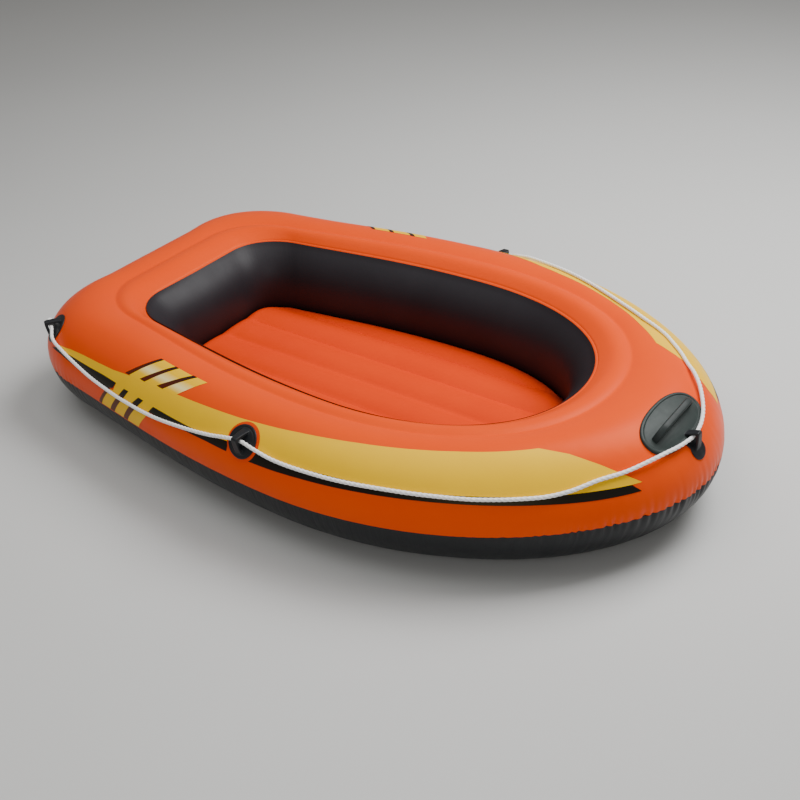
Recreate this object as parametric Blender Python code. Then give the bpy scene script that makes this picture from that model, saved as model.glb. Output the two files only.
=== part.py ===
"""Inflatable one-person kids boat: welded vinyl hull, I-beam floor, grab line and valves.

The boat lies on its underside with the bow towards +X, port towards +Y and +Z up.
The origin is the middle of the flat underside of the floor.
Every skin is a sheet lofted through stations around the hull and then given its wall.
"""
import math

import bmesh
import bpy
from mathutils import Matrix, Vector

# Overall size of the inflated hull, in metres
LENGTH = 1.370
BEAM = 0.850
TUBE_HEIGHT = 0.226

# Plan of the hull's outer edge
BEAM_STATION = 0.066
TRANSOM_INSET = 0.065
TRANSOM_HALF = BEAM / 2 - TRANSOM_INSET
STERN_CORNER = 0.175
CORNER_PULL = (0.60, 0.50)
SIDE_FLARE = 1.6
SIDE_PULL = (0.33, 0.40)
BOW_FULLNESS = 0.60
BOW_BLUNTNESS = 0.436

# Ring of the hull, measured inwards from the outer edge to the rim of the cockpit
RING_STERN = 0.197
RING_QUARTER = 0.154
RING_SIDE = 0.172
RING_BOW = 0.249
RIM_CORNER = 0.077
RIM_BLUNTNESS = 0.61

# Crease of the deck over the chamber divider, measured outwards from the rim
CREASE_STERN = 0.072
CREASE_QUARTER = 0.030
CREASE_SIDE = 0.049
CREASE_BOW = 0.065
CREASE_CORNER = 0.126

# Section of the hull
WIDEST_HEIGHT = 0.118
CROWN_INSET = 0.138
CROWN_TURN = 62.0
CREASE_FALL = 22.0
BILGE_INSET = 0.126
BEARING_STRIP = 0.004
CREASE_DIP = 0.011
RIM_DROP = 0.028
DECK_SWELL = 0.005
SEAM_HEIGHT = 0.106
WALL_SWELL = 0.050
SWELL_HEIGHT = 0.110
WALL_TOP_PULL = (0.022, 0.020)
WALL_UPPER_PULL = 0.045
WALL_LOWER_PULL = 0.035
WALL_FOOT_PULL = (0.010, 0.013)
KEEL_CREASE = 0.003
KEEL_EASE = 0.005

# Sheets, welds and clearances
SKIN = 0.0012
GAP = 0.0003
SEAM_FLANGE = 0.008
RIM_FLANGE = 0.008
RIM_FLANGE_FALL = 60.0
DIVIDER_FLANGE = 0.010

# Floor mattress
WELD_INSET = 0.020
WELD_HEIGHT = 0.028
LAP_START = 0.006
FLOOR_FLANGE = 0.009
FLANGE_TRIM = 0.002
FLOOR_EDGE = 0.030
EDGE_ROUND = 0.023
FLOOR_TOP = 0.066
BEAM_COUNT = 6
BEAM_PITCH = (BEAM - 2 * RING_SIDE - 2.5 * WELD_INSET) / BEAM_COUNT
BEAM_CROWN = 0.007
WEB_FLANGE = 0.014
WEB_END = 0.012

# Rope holders and grab line
ROPE = 0.008
ROPE_CLEARANCE = 0.0018
ROPE_PITCH = 0.038
HOLDER_RADIUS = 0.0305
PATCH = 0.0022
PATCH_REACH = 0.012
EYE_SPREAD = 0.023
EYE_HEIGHT = 0.025
EYE_WALL = 0.0048
EYE_WIDTH = 0.016
EYE_AXIS = 0.010
EYE_FOOT = 0.010
EYE_ROUNDING = 0.16
EYE_TAPER = 0.25
ROPE_SAG = 0.0015
MID_HOLDER_X = 0.014
MID_HOLDER_ANGLES = {"starboard": 35.0, "port": 28.0}
STERN_HOLDER_INSET = 0.078
STERN_HOLDER_X = STERN_HOLDER_INSET - LENGTH / 2
STERN_HOLDER_ANGLES = {"starboard": 36.0, "port": 22.0}
KNOT_LENGTH = 0.018
KNOT_RADIUS = 0.0070

# Bow pad and grip
FITTING_SIDE = -0.018
PAD_LENGTH = 0.160
PAD_WIDTH = 0.080
PAD_ANGLE = 58.5
PAD_RIM = 0.006
PAD_RIM_HEIGHT = 0.0018
PAD_SQUARENESS = 2.3
PAD_DROP = 0.030
PAD_STAND = 0.016
GRIP_LENGTH = 0.128
GRIP_WIDTH = 0.012
GRIP_HEIGHT = 0.022
GRIP_BAR = 0.007
GRIP_FOOT = 0.016
GRIP_REACH = 0.030
GRIP_ROUNDING = 0.2
BOW_EYE_ANGLE = 40.5
FOOT_RADIUS = 0.016
TOE_RADIUS = 0.0108
FOOT_SPAN = 0.034

# Valves, each a pushed-in stem with a plug on a strap
VALVE_FLANGE_RADIUS = 0.022
VALVE_FLANGE = 0.0015
CUP_RADIUS = 0.0155
CUP_WALL = 0.0020
CUP_DEPTH = 0.016
CUP_LIP = 0.0020
STEM_RADIUS = 0.0062
STEM_BORE = 0.0042
STEM_TOP = 0.0020
STEM_LIP_RADIUS = 0.0085
STEM_LIP = 0.0018
STEM_LENGTH = 0.032
PLUG_HEAD_RADIUS = 0.0078
PLUG_HEAD = 0.0024
PLUG_DEPTH = 0.0060
PLUG_CLEARANCE = 0.0004
PLUG_TIP_RADIUS = 0.0024
STRAP_WIDTH = 0.0044
TAB_LOW = 0.0004
TAB = 0.0008
EAR = 0.0009
BODY_REACH = 0.012
BODY_LAP = 0.0008
HINGE_OFFSET = 0.0108
EAR_END = 0.0016
EAR_LAP = 0.0015
FLAP = 0.0010
FLAP_GAP = 0.0003
FLAP_INSET = 0.0006
STERN_VALVE_ANGLE = 38.0
WALL_VALVE_X = -0.150
FLOOR_VALVE_X = -0.235

# Fineness of the meshes
STERN_STEPS = 3
CORNER_STEPS = 5
SIDE_STEPS = 7
BOW_STEPS = 11
ARC_STEPS = 6
CROWN_STEPS = 3
BILGE_STEPS = 5
WALL_STEPS = 6
KEEL_STEPS = 3
DECK_STEPS = 3
EDGE_STEPS = 3
ROUND_STEPS = 16
DISC_STEPS = 20
PAD_STEPS = 28

COLOURS = {
    "vinyl_orange": (0.88, 0.17, 0.03, 1.0),
    "vinyl_grey": (0.035, 0.036, 0.040, 1.0),
    "moulding": (0.030, 0.034, 0.034, 1.0),
    "rope": (0.86, 0.86, 0.84, 1.0),
    "valve": (0.70, 0.70, 0.68, 1.0),
}
ROUGHNESS = {"vinyl_orange": 0.34, "vinyl_grey": 0.42, "moulding": 0.45, "rope": 0.85, "valve": 0.4}


def clear_scene():
    for obj in list(bpy.data.objects):
        bpy.data.objects.remove(obj, do_unlink=True)


def material(name):
    """One plain Principled finish for each kind of sheet or moulding."""
    found = bpy.data.materials.get(name)
    if found:
        return found
    made = bpy.data.materials.new(name)
    made.use_nodes = True
    shader = made.node_tree.nodes["Principled BSDF"]
    shader.inputs["Base Color"].default_value = COLOURS[name]
    shader.inputs["Roughness"].default_value = ROUGHNESS[name]
    shader.inputs["Metallic"].default_value = 0.0
    made.diffuse_color = COLOURS[name]
    return made


def add_object(name, mesh, finish=None):
    obj = bpy.data.objects.new(name, mesh)
    bpy.context.scene.collection.objects.link(obj)
    if finish:
        mesh.materials.append(material(finish))
    return obj


def as_guide(obj):
    """Cutters and forms that shape other pieces, and are no part of the boat."""
    obj.hide_render = True
    obj.display_type = "WIRE"
    return obj


def mesh_from(bm, name, smooth=35.0):
    mesh = bpy.data.meshes.new(name)
    bm.to_mesh(mesh)
    bm.free()
    mesh.shade_smooth()
    mesh.set_sharp_from_angle(angle=math.radians(smooth))
    return mesh


def bezier(points, steps):
    """Points of a cubic curve, without its last end."""
    p0, p1, p2, p3 = points
    out = []
    for i in range(steps):
        t = i / steps
        s = 1.0 - t
        out.append(p0 * s ** 3 + p1 * (3 * s * s * t) + p2 * (3 * s * t * t) + p3 * t ** 3)
    return out


def outline(stern_x, bow_x, quarter_half, side_half, corner, blunt):
    """Closed plan curve: flat stern, round quarters, swelling sides and a rounded bow."""
    centre = Vector((stern_x, 0.0))
    corner_in = Vector((stern_x, quarter_half - corner))
    corner_out = Vector((stern_x + corner, quarter_half))
    widest = Vector((BEAM_STATION, side_half))
    tip = Vector((bow_x, 0.0))
    run = BEAM_STATION - corner_out.x
    heading = Vector((1.0, SIDE_FLARE * (side_half - quarter_half) / (BEAM_STATION - stern_x)))
    half = [centre.lerp(corner_in, i / STERN_STEPS) for i in range(STERN_STEPS)]
    half += bezier((corner_in, corner_in + Vector((0.0, CORNER_PULL[0] * corner)),
                    corner_out - heading * (CORNER_PULL[1] * corner), corner_out), CORNER_STEPS)
    half += bezier((corner_out, corner_out + heading * (SIDE_PULL[0] * run),
                    widest - Vector((SIDE_PULL[1] * run, 0.0)), widest), SIDE_STEPS)
    half += bezier((widest, widest + Vector(((bow_x - BEAM_STATION) * BOW_FULLNESS, 0.0)),
                    tip + Vector((0.0, side_half * blunt)), tip), BOW_STEPS)
    mirrored = [Vector((p.x, -p.y)) for p in reversed(half[1:])]
    return half + [tip] + mirrored


def hull_outlines():
    """Outer edge, crease and rim, station by station."""
    outer = outline(-LENGTH / 2, LENGTH / 2, TRANSOM_HALF, BEAM / 2, STERN_CORNER, BOW_BLUNTNESS)
    rim_stern = -LENGTH / 2 + RING_STERN
    rim_bow = LENGTH / 2 - RING_BOW
    rim_quarter = TRANSOM_HALF - RING_QUARTER
    rim_side = BEAM / 2 - RING_SIDE
    rim = outline(rim_stern, rim_bow, rim_quarter, rim_side, RIM_CORNER, RIM_BLUNTNESS)
    crease = outline(rim_stern - CREASE_STERN, rim_bow + CREASE_BOW, rim_quarter + CREASE_QUARTER,
                     rim_side + CREASE_SIDE, CREASE_CORNER, RIM_BLUNTNESS)
    return outer, crease, rim


OUTER, CREASE, RIM = hull_outlines()
STATIONS = len(OUTER)
CREASE_HEIGHT = TUBE_HEIGHT - CREASE_DIP
RIM_HEIGHT = TUBE_HEIGHT - RIM_DROP
WELD_PITCH = SKIN + GAP
LAP_END = WELD_INSET + LAP_START + FLOOR_FLANGE - FLANGE_TRIM
FLANGE_OUT = math.cos(math.radians(RIM_FLANGE_FALL))
FLANGE_DOWN = math.sin(math.radians(RIM_FLANGE_FALL))


class Station:
    """One cross-section of the hull, at a station or a fraction of the way to the next."""

    def __init__(self, index):
        low = math.floor(index)
        share = index - low
        a, b = low % STATIONS, (low + 1) % STATIONS
        self.outer = OUTER[a].lerp(OUTER[b], share)
        self.crease = CREASE[a].lerp(CREASE[b], share)
        self.rim = RIM[a].lerp(RIM[b], share)
        self.width = (self.crease - self.outer).length
        self.inward = (self.crease - self.outer).normalized()
        self.inboard = (self.rim - self.outer).normalized()
        self.crown = min(CROWN_INSET, self.width)
        self.bilge = min(BILGE_INSET, self.width - KEEL_EASE - BEARING_STRIP)

    def at(self, inset, height):
        """A point measured inwards from the outer edge."""
        plan = self.outer + self.inward * inset
        return Vector((plan.x, plan.y, height))

    def from_rim(self, inset, height):
        """A point measured inwards from the rim of the cockpit."""
        plan = self.rim + self.inboard * inset
        return Vector((plan.x, plan.y, height))

    def profile(self, angle):
        """Inset and height on the round side: 0 is the widest line, -90 the bilge and 90 the crease.

        Above CROWN_TURN the sheet leaves the round and is drawn down to the crease by the divider.
        """
        turn = math.radians(min(angle, CROWN_TURN))
        reach, rise = (self.crown, TUBE_HEIGHT - WIDEST_HEIGHT) if angle > 0.0 else (self.bilge, WIDEST_HEIGHT)
        round_end = Vector((reach * (1.0 - math.cos(turn)), WIDEST_HEIGHT + rise * math.sin(turn)))
        if angle <= CROWN_TURN:
            return round_end
        crease = Vector((self.width, CREASE_HEIGHT))
        third = (crease - round_end).length / 3
        fall = math.radians(CREASE_FALL)
        rising = Vector((reach * math.sin(turn), rise * math.cos(turn))).normalized() * third
        falling = Vector((math.cos(fall), -math.sin(fall))) * third
        p1, p2 = round_end + rising, crease - falling
        t = (angle - CROWN_TURN) / (90.0 - CROWN_TURN)
        u = 1.0 - t
        return round_end * u ** 3 + p1 * (3 * u * u * t) + p2 * (3 * u * t * t) + crease * t ** 3

    def arc(self, angle):
        """A point on the outer chamber's round side."""
        place = self.profile(angle)
        return self.at(place.x, place.y)

    def arc_normal(self, angle):
        step = self.profile(min(angle + 0.5, 90.0)) - self.profile(max(angle - 0.5, -90.0))
        side = -self.inward * step.y
        return Vector((side.x, side.y, step.x)).normalized()

    def deck(self, share):
        """The inner chamber's top, from the crease at 0 to the rim at 1."""
        plan = self.crease.lerp(self.rim, share)
        swell = DECK_SWELL * math.sin(math.pi * share)
        height = CREASE_HEIGHT + (RIM_HEIGHT - CREASE_HEIGHT) * share ** 3 + swell
        return Vector((plan.x, plan.y, height))

    def keel(self, share):
        """The inner chamber's underside, from the crease at 0 to the floor weld at 1."""
        weld = self.rim + self.inboard * WELD_INSET
        plan = self.crease.lerp(weld, share)
        return Vector((plan.x, plan.y, KEEL_CREASE + (WELD_HEIGHT - KEEL_CREASE) * share ** 2))

    def wall(self, share):
        """The cockpit wall, from the rim at 0 over its swell to the floor weld at 1."""
        top_in, top_down = WALL_TOP_PULL
        upper = (Vector((0.0, RIM_HEIGHT)), Vector((top_in, RIM_HEIGHT - top_down)),
                 Vector((WALL_SWELL, SWELL_HEIGHT + WALL_UPPER_PULL)), Vector((WALL_SWELL, SWELL_HEIGHT)))
        foot = WELD_HEIGHT + WELD_PITCH + SKIN
        foot_in, foot_up = WALL_FOOT_PULL
        lower = (upper[3], Vector((WALL_SWELL, SWELL_HEIGHT - WALL_LOWER_PULL)),
                 Vector((WALL_SWELL - foot_in, foot + foot_up)), Vector((WELD_INSET, foot)))
        curve = upper if share < 0.5 else lower
        t = 2 * share if share < 0.5 else 2 * share - 1
        s = 1.0 - t
        p = curve[0] * s ** 3 + curve[1] * (3 * s * s * t) + curve[2] * (3 * s * t * t) + curve[3] * t ** 3
        return self.from_rim(p.x, p.y)


def on_facets(curve, share, steps):
    """A point on a curve as the sheets have it, in straight steps."""
    place = min(share * steps, steps - 1e-9)
    low = math.floor(place)
    return curve(low / steps).lerp(curve((low + 1) / steps), place - low)


def seam_angle(height):
    return math.degrees(math.asin((height - WIDEST_HEIGHT) / WIDEST_HEIGHT))


def top_section(station):
    """Orange sheet: seam flange, round side, crown, crease, deck and rim flange."""
    start = seam_angle(SEAM_HEIGHT)
    corner = station.arc(start)
    inward = Vector((station.inward.x, station.inward.y, 0.0))
    points = [corner + inward * SEAM_FLANGE]
    points += [station.arc(start + (CROWN_TURN - start) * i / ARC_STEPS) for i in range(ARC_STEPS)]
    points += [station.arc(CROWN_TURN + (90.0 - CROWN_TURN) * i / CROWN_STEPS) for i in range(CROWN_STEPS + 1)]
    points += [station.deck(i / DECK_STEPS) for i in range(1, DECK_STEPS + 1)]
    points.append(station.from_rim(-FLANGE_OUT * RIM_FLANGE, RIM_HEIGHT - FLANGE_DOWN * RIM_FLANGE))
    return points


def wall_section(station):
    """Dark cockpit sheet: rim flange, swelling wall and floor flange."""
    nudge_in, nudge_down = FLANGE_DOWN * GAP, FLANGE_OUT * GAP
    points = [station.from_rim(nudge_in - FLANGE_OUT * RIM_FLANGE,
                               RIM_HEIGHT - FLANGE_DOWN * RIM_FLANGE - nudge_down)]
    points.append(station.from_rim(nudge_in, RIM_HEIGHT - nudge_down))
    points += [station.wall(i / WALL_STEPS) for i in range(1, WALL_STEPS + 1)]
    foot = WELD_HEIGHT + WELD_PITCH + SKIN
    points.append(station.from_rim(LAP_END, foot))
    return points


def bottom_section(station):
    """Dark underside sheet: floor flange, inner keel, flat bearing strip, round side and seam flange."""
    points = [station.from_rim(LAP_END, WELD_HEIGHT)]
    points += [station.keel(i / KEEL_STEPS) for i in range(KEEL_STEPS, -1, -1)]
    points.append(station.at(station.width - KEEL_EASE, 0.0))
    top = seam_angle(SEAM_HEIGHT - GAP)
    points += [station.arc(-90.0 + (90.0 + top) * i / BILGE_STEPS) for i in range(BILGE_STEPS + 1)]
    inward = Vector((station.inward.x, station.inward.y, 0.0))
    points.append(points[-1] + inward * SEAM_FLANGE)
    return points


def divider_section(station):
    """Web between the two hull chambers, with a flange welded to the deck and one to the keel."""
    stand_off = SKIN + 2 * GAP
    share = DIVIDER_FLANGE / (station.rim - station.crease).length
    low_share = DIVIDER_FLANGE / (station.rim + station.inboard * WELD_INSET - station.crease).length
    down = Vector((0.0, 0.0, stand_off))
    keel_end = on_facets(station.keel, low_share, KEEL_STEPS)
    deck_end = on_facets(station.deck, share, DECK_STEPS)
    return [keel_end + down, station.keel(0.0) + down, station.deck(0.0) - down, deck_end - down]


def ring_sheet(name, section, finish):
    """A sheet lofted around the hull through every station, with its wall turned inwards."""
    bm = bmesh.new()
    rows = [[bm.verts.new(p) for p in section(Station(i))] for i in range(STATIONS)]
    for i in range(STATIONS):
        here, there = rows[i], rows[(i + 1) % STATIONS]
        for j in range(len(here) - 1):
            bm.faces.new((here[j], here[j + 1], there[j + 1], there[j]))
    obj = add_object(name, mesh_from(bm, name, 40.0), finish)
    give_wall(obj)
    return obj


def give_wall(obj, thickness=SKIN):
    wall = obj.modifiers.new("wall", "SOLIDIFY")
    wall.thickness = thickness
    wall.offset = -1.0
    wall.use_even_offset = True
    return wall


def ring_form(name, swell):
    """Closed form of the whole hull ring, swollen by a little, that fittings are fitted to."""
    bm = bmesh.new()
    rows = []
    for i in range(STATIONS):
        station = Station(i)
        points = bottom_section(station)[1:-1] + top_section(station)[2:-1]
        points += [station.wall(k / WALL_STEPS) for k in range(1, WALL_STEPS)]
        rows.append([bm.verts.new(p) for p in points])
    for i in range(STATIONS):
        here, there = rows[i], rows[(i + 1) % STATIONS]
        for j in range(len(here)):
            k = (j + 1) % len(here)
            bm.faces.new((here[j], here[k], there[k], there[j]))
    bm.normal_update()
    moves = [(v, v.normal * (swell * v.calc_shell_factor())) for v in bm.verts]
    for vert, move in moves:
        vert.co += move
    return as_guide(add_object(name, mesh_from(bm, name)))


def weld_loop(inset):
    return [Station(i).from_rim(inset, 0.0) for i in range(STATIONS)]


def distance_to_loop(point, loop):
    """Plan distance from a point to a closed loop of points."""
    best = math.inf
    for i, a in enumerate(loop):
        b = loop[(i + 1) % len(loop)]
        run = (b - a).xy
        share = max(0.0, min(1.0, (point - a).xy.dot(run) / run.length_squared))
        best = min(best, ((point - a).xy - run * share).length)
    return best


def within_loop(point, loop):
    """Whether a point lies inside a loop, by counting the sides that a line aft of it crosses."""
    crossings = 0
    for a, b in zip(loop, loop[1:] + loop[:1]):
        if (a.y > point.y) != (b.y > point.y):
            crossing_x = a.x + (b.x - a.x) * (point.y - a.y) / (b.y - a.y)
            crossings += crossing_x < point.x
    return crossings % 2 == 1


FLOOR_LOOP = weld_loop(WELD_INSET + LAP_START)
FLOOR_FLAT_LOOP = weld_loop(WELD_INSET + LAP_START + FLOOR_FLANGE + FLOOR_EDGE)
FLANGE_UNDER = WELD_HEIGHT + 2 * WELD_PITCH
FLANGE_TOP = FLANGE_UNDER + WELD_PITCH + SKIN


def beam_share(y):
    """0 at a valley between two floor beams, 1 along the middle of a beam."""
    place = (y / BEAM_PITCH) % 1.0
    return 1.0 - (2.0 * place - 1.0) ** 2


def floor_top_height(point):
    inset = distance_to_loop(point, FLOOR_LOOP) - FLOOR_FLANGE
    if inset <= 0.0:
        return FLANGE_TOP
    crest = FLOOR_TOP - BEAM_CROWN * (1.0 - beam_share(point.y))
    if inset >= EDGE_ROUND:
        return crest
    rise = math.sqrt(1.0 - (1.0 - inset / EDGE_ROUND) ** 2)
    return FLANGE_TOP + (crest - FLANGE_TOP) * rise


def floor_bottom_height(point):
    inset = distance_to_loop(point, FLOOR_LOOP) - FLOOR_FLANGE
    if inset <= 0.0:
        return FLANGE_UNDER
    if inset >= EDGE_ROUND:
        return 0.0
    return FLANGE_UNDER * (1.0 - math.sqrt(1.0 - (1.0 - inset / EDGE_ROUND) ** 2))


def floor_plan(lines, upward):
    """Flat floor plan in rings along its edge, cut along lines that run fore and aft."""
    bm = bmesh.new()
    insets = [0.0, FLOOR_FLANGE]
    insets += [FLOOR_FLANGE + FLOOR_EDGE * (1.0 - math.cos(0.5 * math.pi * k / EDGE_STEPS))
               for k in range(1, EDGE_STEPS + 1)]
    rings = []
    for inset in insets:
        rings.append([bm.verts.new(p) for p in weld_loop(WELD_INSET + LAP_START + inset)])
    for outer, inner in zip(rings, rings[1:]):
        for i in range(STATIONS):
            k = (i + 1) % STATIONS
            bm.faces.new((outer[i], inner[i], inner[k], outer[k]))
    bm.faces.new(list(reversed(rings[-1])))
    for y in lines:
        geometry = bm.verts[:] + bm.edges[:] + bm.faces[:]
        bmesh.ops.bisect_plane(bm, geom=geometry, dist=1e-6, plane_co=Vector((0.0, y, 0.0)),
                               plane_no=Vector((0.0, 1.0, 0.0)))
    if not upward:
        bmesh.ops.reverse_faces(bm, faces=bm.faces[:])
    return bm


def beam_lines():
    """Lines along the floor that shape its beams, three to a beam."""
    half = BEAM_COUNT // 2
    return [BEAM_PITCH * k / 3 for k in range(-3 * half + 1, 3 * half)]


def floor_top():
    """Orange mattress top: lengthwise beams, rounded down to the weld around its edge."""
    bm = floor_plan(beam_lines(), True)
    for vert in bm.verts:
        vert.co.z = floor_top_height(vert.co)
    obj = add_object("floor_top_skin", mesh_from(bm, "floor_top_skin", 60.0), "vinyl_orange")
    give_wall(obj)
    return obj


def floor_bottom():
    """Mattress underside, pressed flat where the boat stands."""
    bm = floor_plan([0.0], False)
    for vert in bm.verts:
        vert.co.z = floor_bottom_height(vert.co)
    obj = add_object("floor_bottom_skin", mesh_from(bm, "floor_bottom_skin", 40.0), "vinyl_grey")
    give_wall(obj)
    return obj


def web_reach(y):
    """How far aft and forward a floor web runs before the floor rounds down."""
    edge = abs(y) + WEB_FLANGE / 2
    loop = FLOOR_FLAT_LOOP
    loop_x = [p.x for p in loop]
    count = 300
    xs = [min(loop_x) + (max(loop_x) - min(loop_x)) * k / count for k in range(1, count)]
    places = [Vector((x, edge, 0.0)) for x in xs]
    clear = [p.x for p in places if within_loop(p, loop) and distance_to_loop(p, loop) > WEB_END]
    return clear[0], clear[-1]


def floor_web(name, y):
    """I-section web that ties a valley of the floor to its underside."""
    low = SKIN + GAP
    high = FLOOR_TOP - BEAM_CROWN - SKIN - 2 * GAP
    half, foot, web = WEB_FLANGE / 2, SKIN, SKIN / 2
    # The upper flange follows the two slopes that meet in the valley
    lift = BEAM_CROWN * (1.0 - (1.0 - 2 * half / BEAM_PITCH) ** 2)
    outline_yz = [(-half, low), (half, low), (half, low + foot), (web, low + foot),
                  (web, high - foot), (half, high - foot + 0.5 * lift), (half, high + 0.5 * lift), (0.0, high),
                  (-half, high + 0.5 * lift), (-half, high - foot + 0.5 * lift), (-web, high - foot),
                  (-web, low + foot), (-half, low + foot)]
    aft, fore = web_reach(y)
    bm = bmesh.new()
    face = bm.faces.new([bm.verts.new((aft, y + dy, z)) for dy, z in outline_yz])
    pushed = bmesh.ops.extrude_face_region(bm, geom=[face])
    moved = [g for g in pushed["geom"] if isinstance(g, bmesh.types.BMVert)]
    bmesh.ops.translate(bm, vec=Vector((fore - aft, 0.0, 0.0)), verts=moved)
    bmesh.ops.recalc_face_normals(bm, faces=bm.faces[:])
    return add_object(name, mesh_from(bm, name, 20.0), "vinyl_grey")


def frame_at(origin, normal, along):
    """Placement with local Z on the surface normal and local X along the given direction."""
    z_axis = normal.normalized()
    x_axis = (along - z_axis * along.dot(z_axis)).normalized()
    y_axis = z_axis.cross(x_axis)
    placed = Matrix((x_axis, y_axis, z_axis)).transposed().to_4x4()
    placed.translation = origin
    return placed


def boolean(obj, other, operation):
    cut = obj.modifiers.new(operation.lower(), "BOOLEAN")
    cut.operation = operation
    cut.solver = "EXACT"
    cut.object = other
    return cut


def prism(outline_points, low, high):
    """Solid between two heights over an outline in local X and Y."""
    bm = bmesh.new()
    face = bm.faces.new([bm.verts.new((x, y, low)) for x, y in outline_points])
    pushed = bmesh.ops.extrude_face_region(bm, geom=[face])
    moved = [g for g in pushed["geom"] if isinstance(g, bmesh.types.BMVert)]
    bmesh.ops.translate(bm, vec=Vector((0.0, 0.0, high - low)), verts=moved)
    bmesh.ops.recalc_face_normals(bm, faces=bm.faces[:])
    return bm


def oval(half_x, half_y, steps, power=2.0):
    """Round or squarish oval outline."""
    points = []
    for i in range(steps):
        turn = 2.0 * math.pi * i / steps
        c, s = math.cos(turn), math.sin(turn)
        x = half_x * math.copysign(abs(c) ** (2.0 / power), c)
        y = half_y * math.copysign(abs(s) ** (2.0 / power), s)
        points.append((x, y))
    return points


def turned(profile, steps=ROUND_STEPS):
    """Solid of revolution about local Z from a closed profile of radius and height."""
    bm = bmesh.new()
    rings = []
    for radius, height in profile:
        if radius < 1e-7:
            rings.append([bm.verts.new((0.0, 0.0, height))])
            continue
        ring = []
        for i in range(steps):
            turn = 2.0 * math.pi * i / steps
            ring.append(bm.verts.new((radius * math.cos(turn), radius * math.sin(turn), height)))
        rings.append(ring)
    closed = profile[0][0] > 1e-7
    pairs = list(zip(rings, rings[1:]))
    if closed:
        pairs.append((rings[-1], rings[0]))
    for a, b in pairs:
        for i in range(steps):
            k = (i + 1) % steps
            corners = [a[i % len(a)], a[k % len(a)], b[k % len(b)], b[i % len(b)]]
            unique = list(dict.fromkeys(corners))
            bm.faces.new(unique)
    bmesh.ops.recalc_face_normals(bm, faces=bm.faces[:])
    return bm


def eye_profile(spread, height, wall, foot):
    """Side view of a tent-shaped eye whose legs go on below the sheet, with a triangular hole."""
    rounding = EYE_ROUNDING * spread
    half = [(-spread, -foot), (-spread, 0.0), (-0.93 * spread, 0.10 * height), (-rounding, 0.94 * height)]
    outer = half + [(0.0, height)] + [(-y, z) for y, z in reversed(half)]
    # The hole's sides run parallel to the legs' outer sides, a wall away
    slope = math.hypot(spread, height)
    inner_spread = spread - wall * slope / height
    inner_height = height - wall * slope / spread
    inner = [(inner_spread, -foot), (inner_spread, 0.0), (0.0, inner_height), (-inner_spread, 0.0),
             (-inner_spread, -foot)]
    return outer + inner


def tent_eye(spread, height, width, wall, foot):
    """Tent-shaped strap that the grab line runs through, along local X."""
    profile = eye_profile(spread, height, wall, foot)
    bm = bmesh.new()
    ends = []
    for side in (-1.0, 1.0):
        ring = []
        for y, z in profile:
            taper = 1.0 - EYE_TAPER * max(z, 0.0) / height
            ring.append(bm.verts.new((side * width / 2 * taper, y, z)))
        ends.append(ring)
    count = len(profile)
    for i in range(count):
        k = (i + 1) % count
        bm.faces.new((ends[0][i], ends[0][k], ends[1][k], ends[1][i]))
    bm.faces.new(ends[0])
    bm.faces.new(list(reversed(ends[1])))
    bmesh.ops.triangulate(bm, faces=bm.faces[:])
    bmesh.ops.recalc_face_normals(bm, faces=bm.faces[:])
    return bm


def fit_patch(obj, placed, form_out, form_in):
    """Trim a prism to a thin patch that lies on the hull a hair's gap away."""
    obj.matrix_world = placed
    boolean(obj, form_out, "INTERSECT")
    boolean(obj, form_in, "DIFFERENCE")


def rope_holder(name, placed, form_out, form_in, outline_points):
    """Moulded rope holder: a thin patch welded to the hull with a tent-shaped eye."""
    bm = prism(outline_points, -PATCH_REACH, PATCH_REACH)
    obj = add_object(name, mesh_from(bm, name), "moulding")
    fit_patch(obj, placed, form_out, form_in)
    eye_name = name + "_eye_form"
    bm = tent_eye(EYE_SPREAD, EYE_HEIGHT, EYE_WIDTH, EYE_WALL, EYE_FOOT)
    eye = as_guide(add_object(eye_name, mesh_from(bm, eye_name)))
    eye.matrix_world = placed
    trim = boolean(eye, form_in, "DIFFERENCE")
    trim.name = "seat"
    boolean(obj, eye, "UNION")
    return obj


def station_at_x(x, starboard):
    """Station index on one side of the hull whose outer edge lies at x."""
    half = STATIONS // 2
    for i in range(STERN_STEPS + 1, half):
        a, b = OUTER[i].x, OUTER[i + 1].x
        if a <= x <= b:
            index = i + (x - a) / (b - a)
            return STATIONS - index if starboard else index
    return 0.0


def station_at_y(y):
    """Station index round the bow whose outer edge lies at y."""
    for i in range(STATIONS // 2 - BOW_STEPS, STATIONS // 2 + BOW_STEPS):
        a, b = OUTER[i].y, OUTER[i + 1].y
        if b <= y <= a:
            return i + (a - y) / (a - b)
    return STATIONS / 2


def outer_frame(index, angle):
    """Placement on the round side of the hull, local X along the hull towards the bow."""
    station = Station(index)
    ahead = Station(index + 0.05).arc(angle) - Station(index - 0.05).arc(angle)
    if index > STATIONS / 2:
        ahead = -ahead
    return frame_at(station.arc(angle), station.arc_normal(angle), ahead)


def bow_frame(angle, along):
    """Placement on the bow beside its centre line, where the fittings are welded."""
    station = Station(station_at_y(FITTING_SIDE))
    return frame_at(station.arc(angle), station.arc_normal(angle), along)


def teardrop(toe, foot, span, steps):
    """Outline of two round ends joined by tangents, the small end at +Y."""
    tilt = math.asin((foot - toe) / span)
    points = []
    for centre, radius, start, turn in ((span / 2, toe, -tilt, math.pi + 2 * tilt),
                                        (-span / 2, foot, math.pi + tilt, math.pi - 2 * tilt)):
        for i in range(steps + 1):
            angle = start + turn * i / steps
            points.append((radius * math.cos(angle), centre + radius * math.sin(angle)))
    return points


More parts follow.
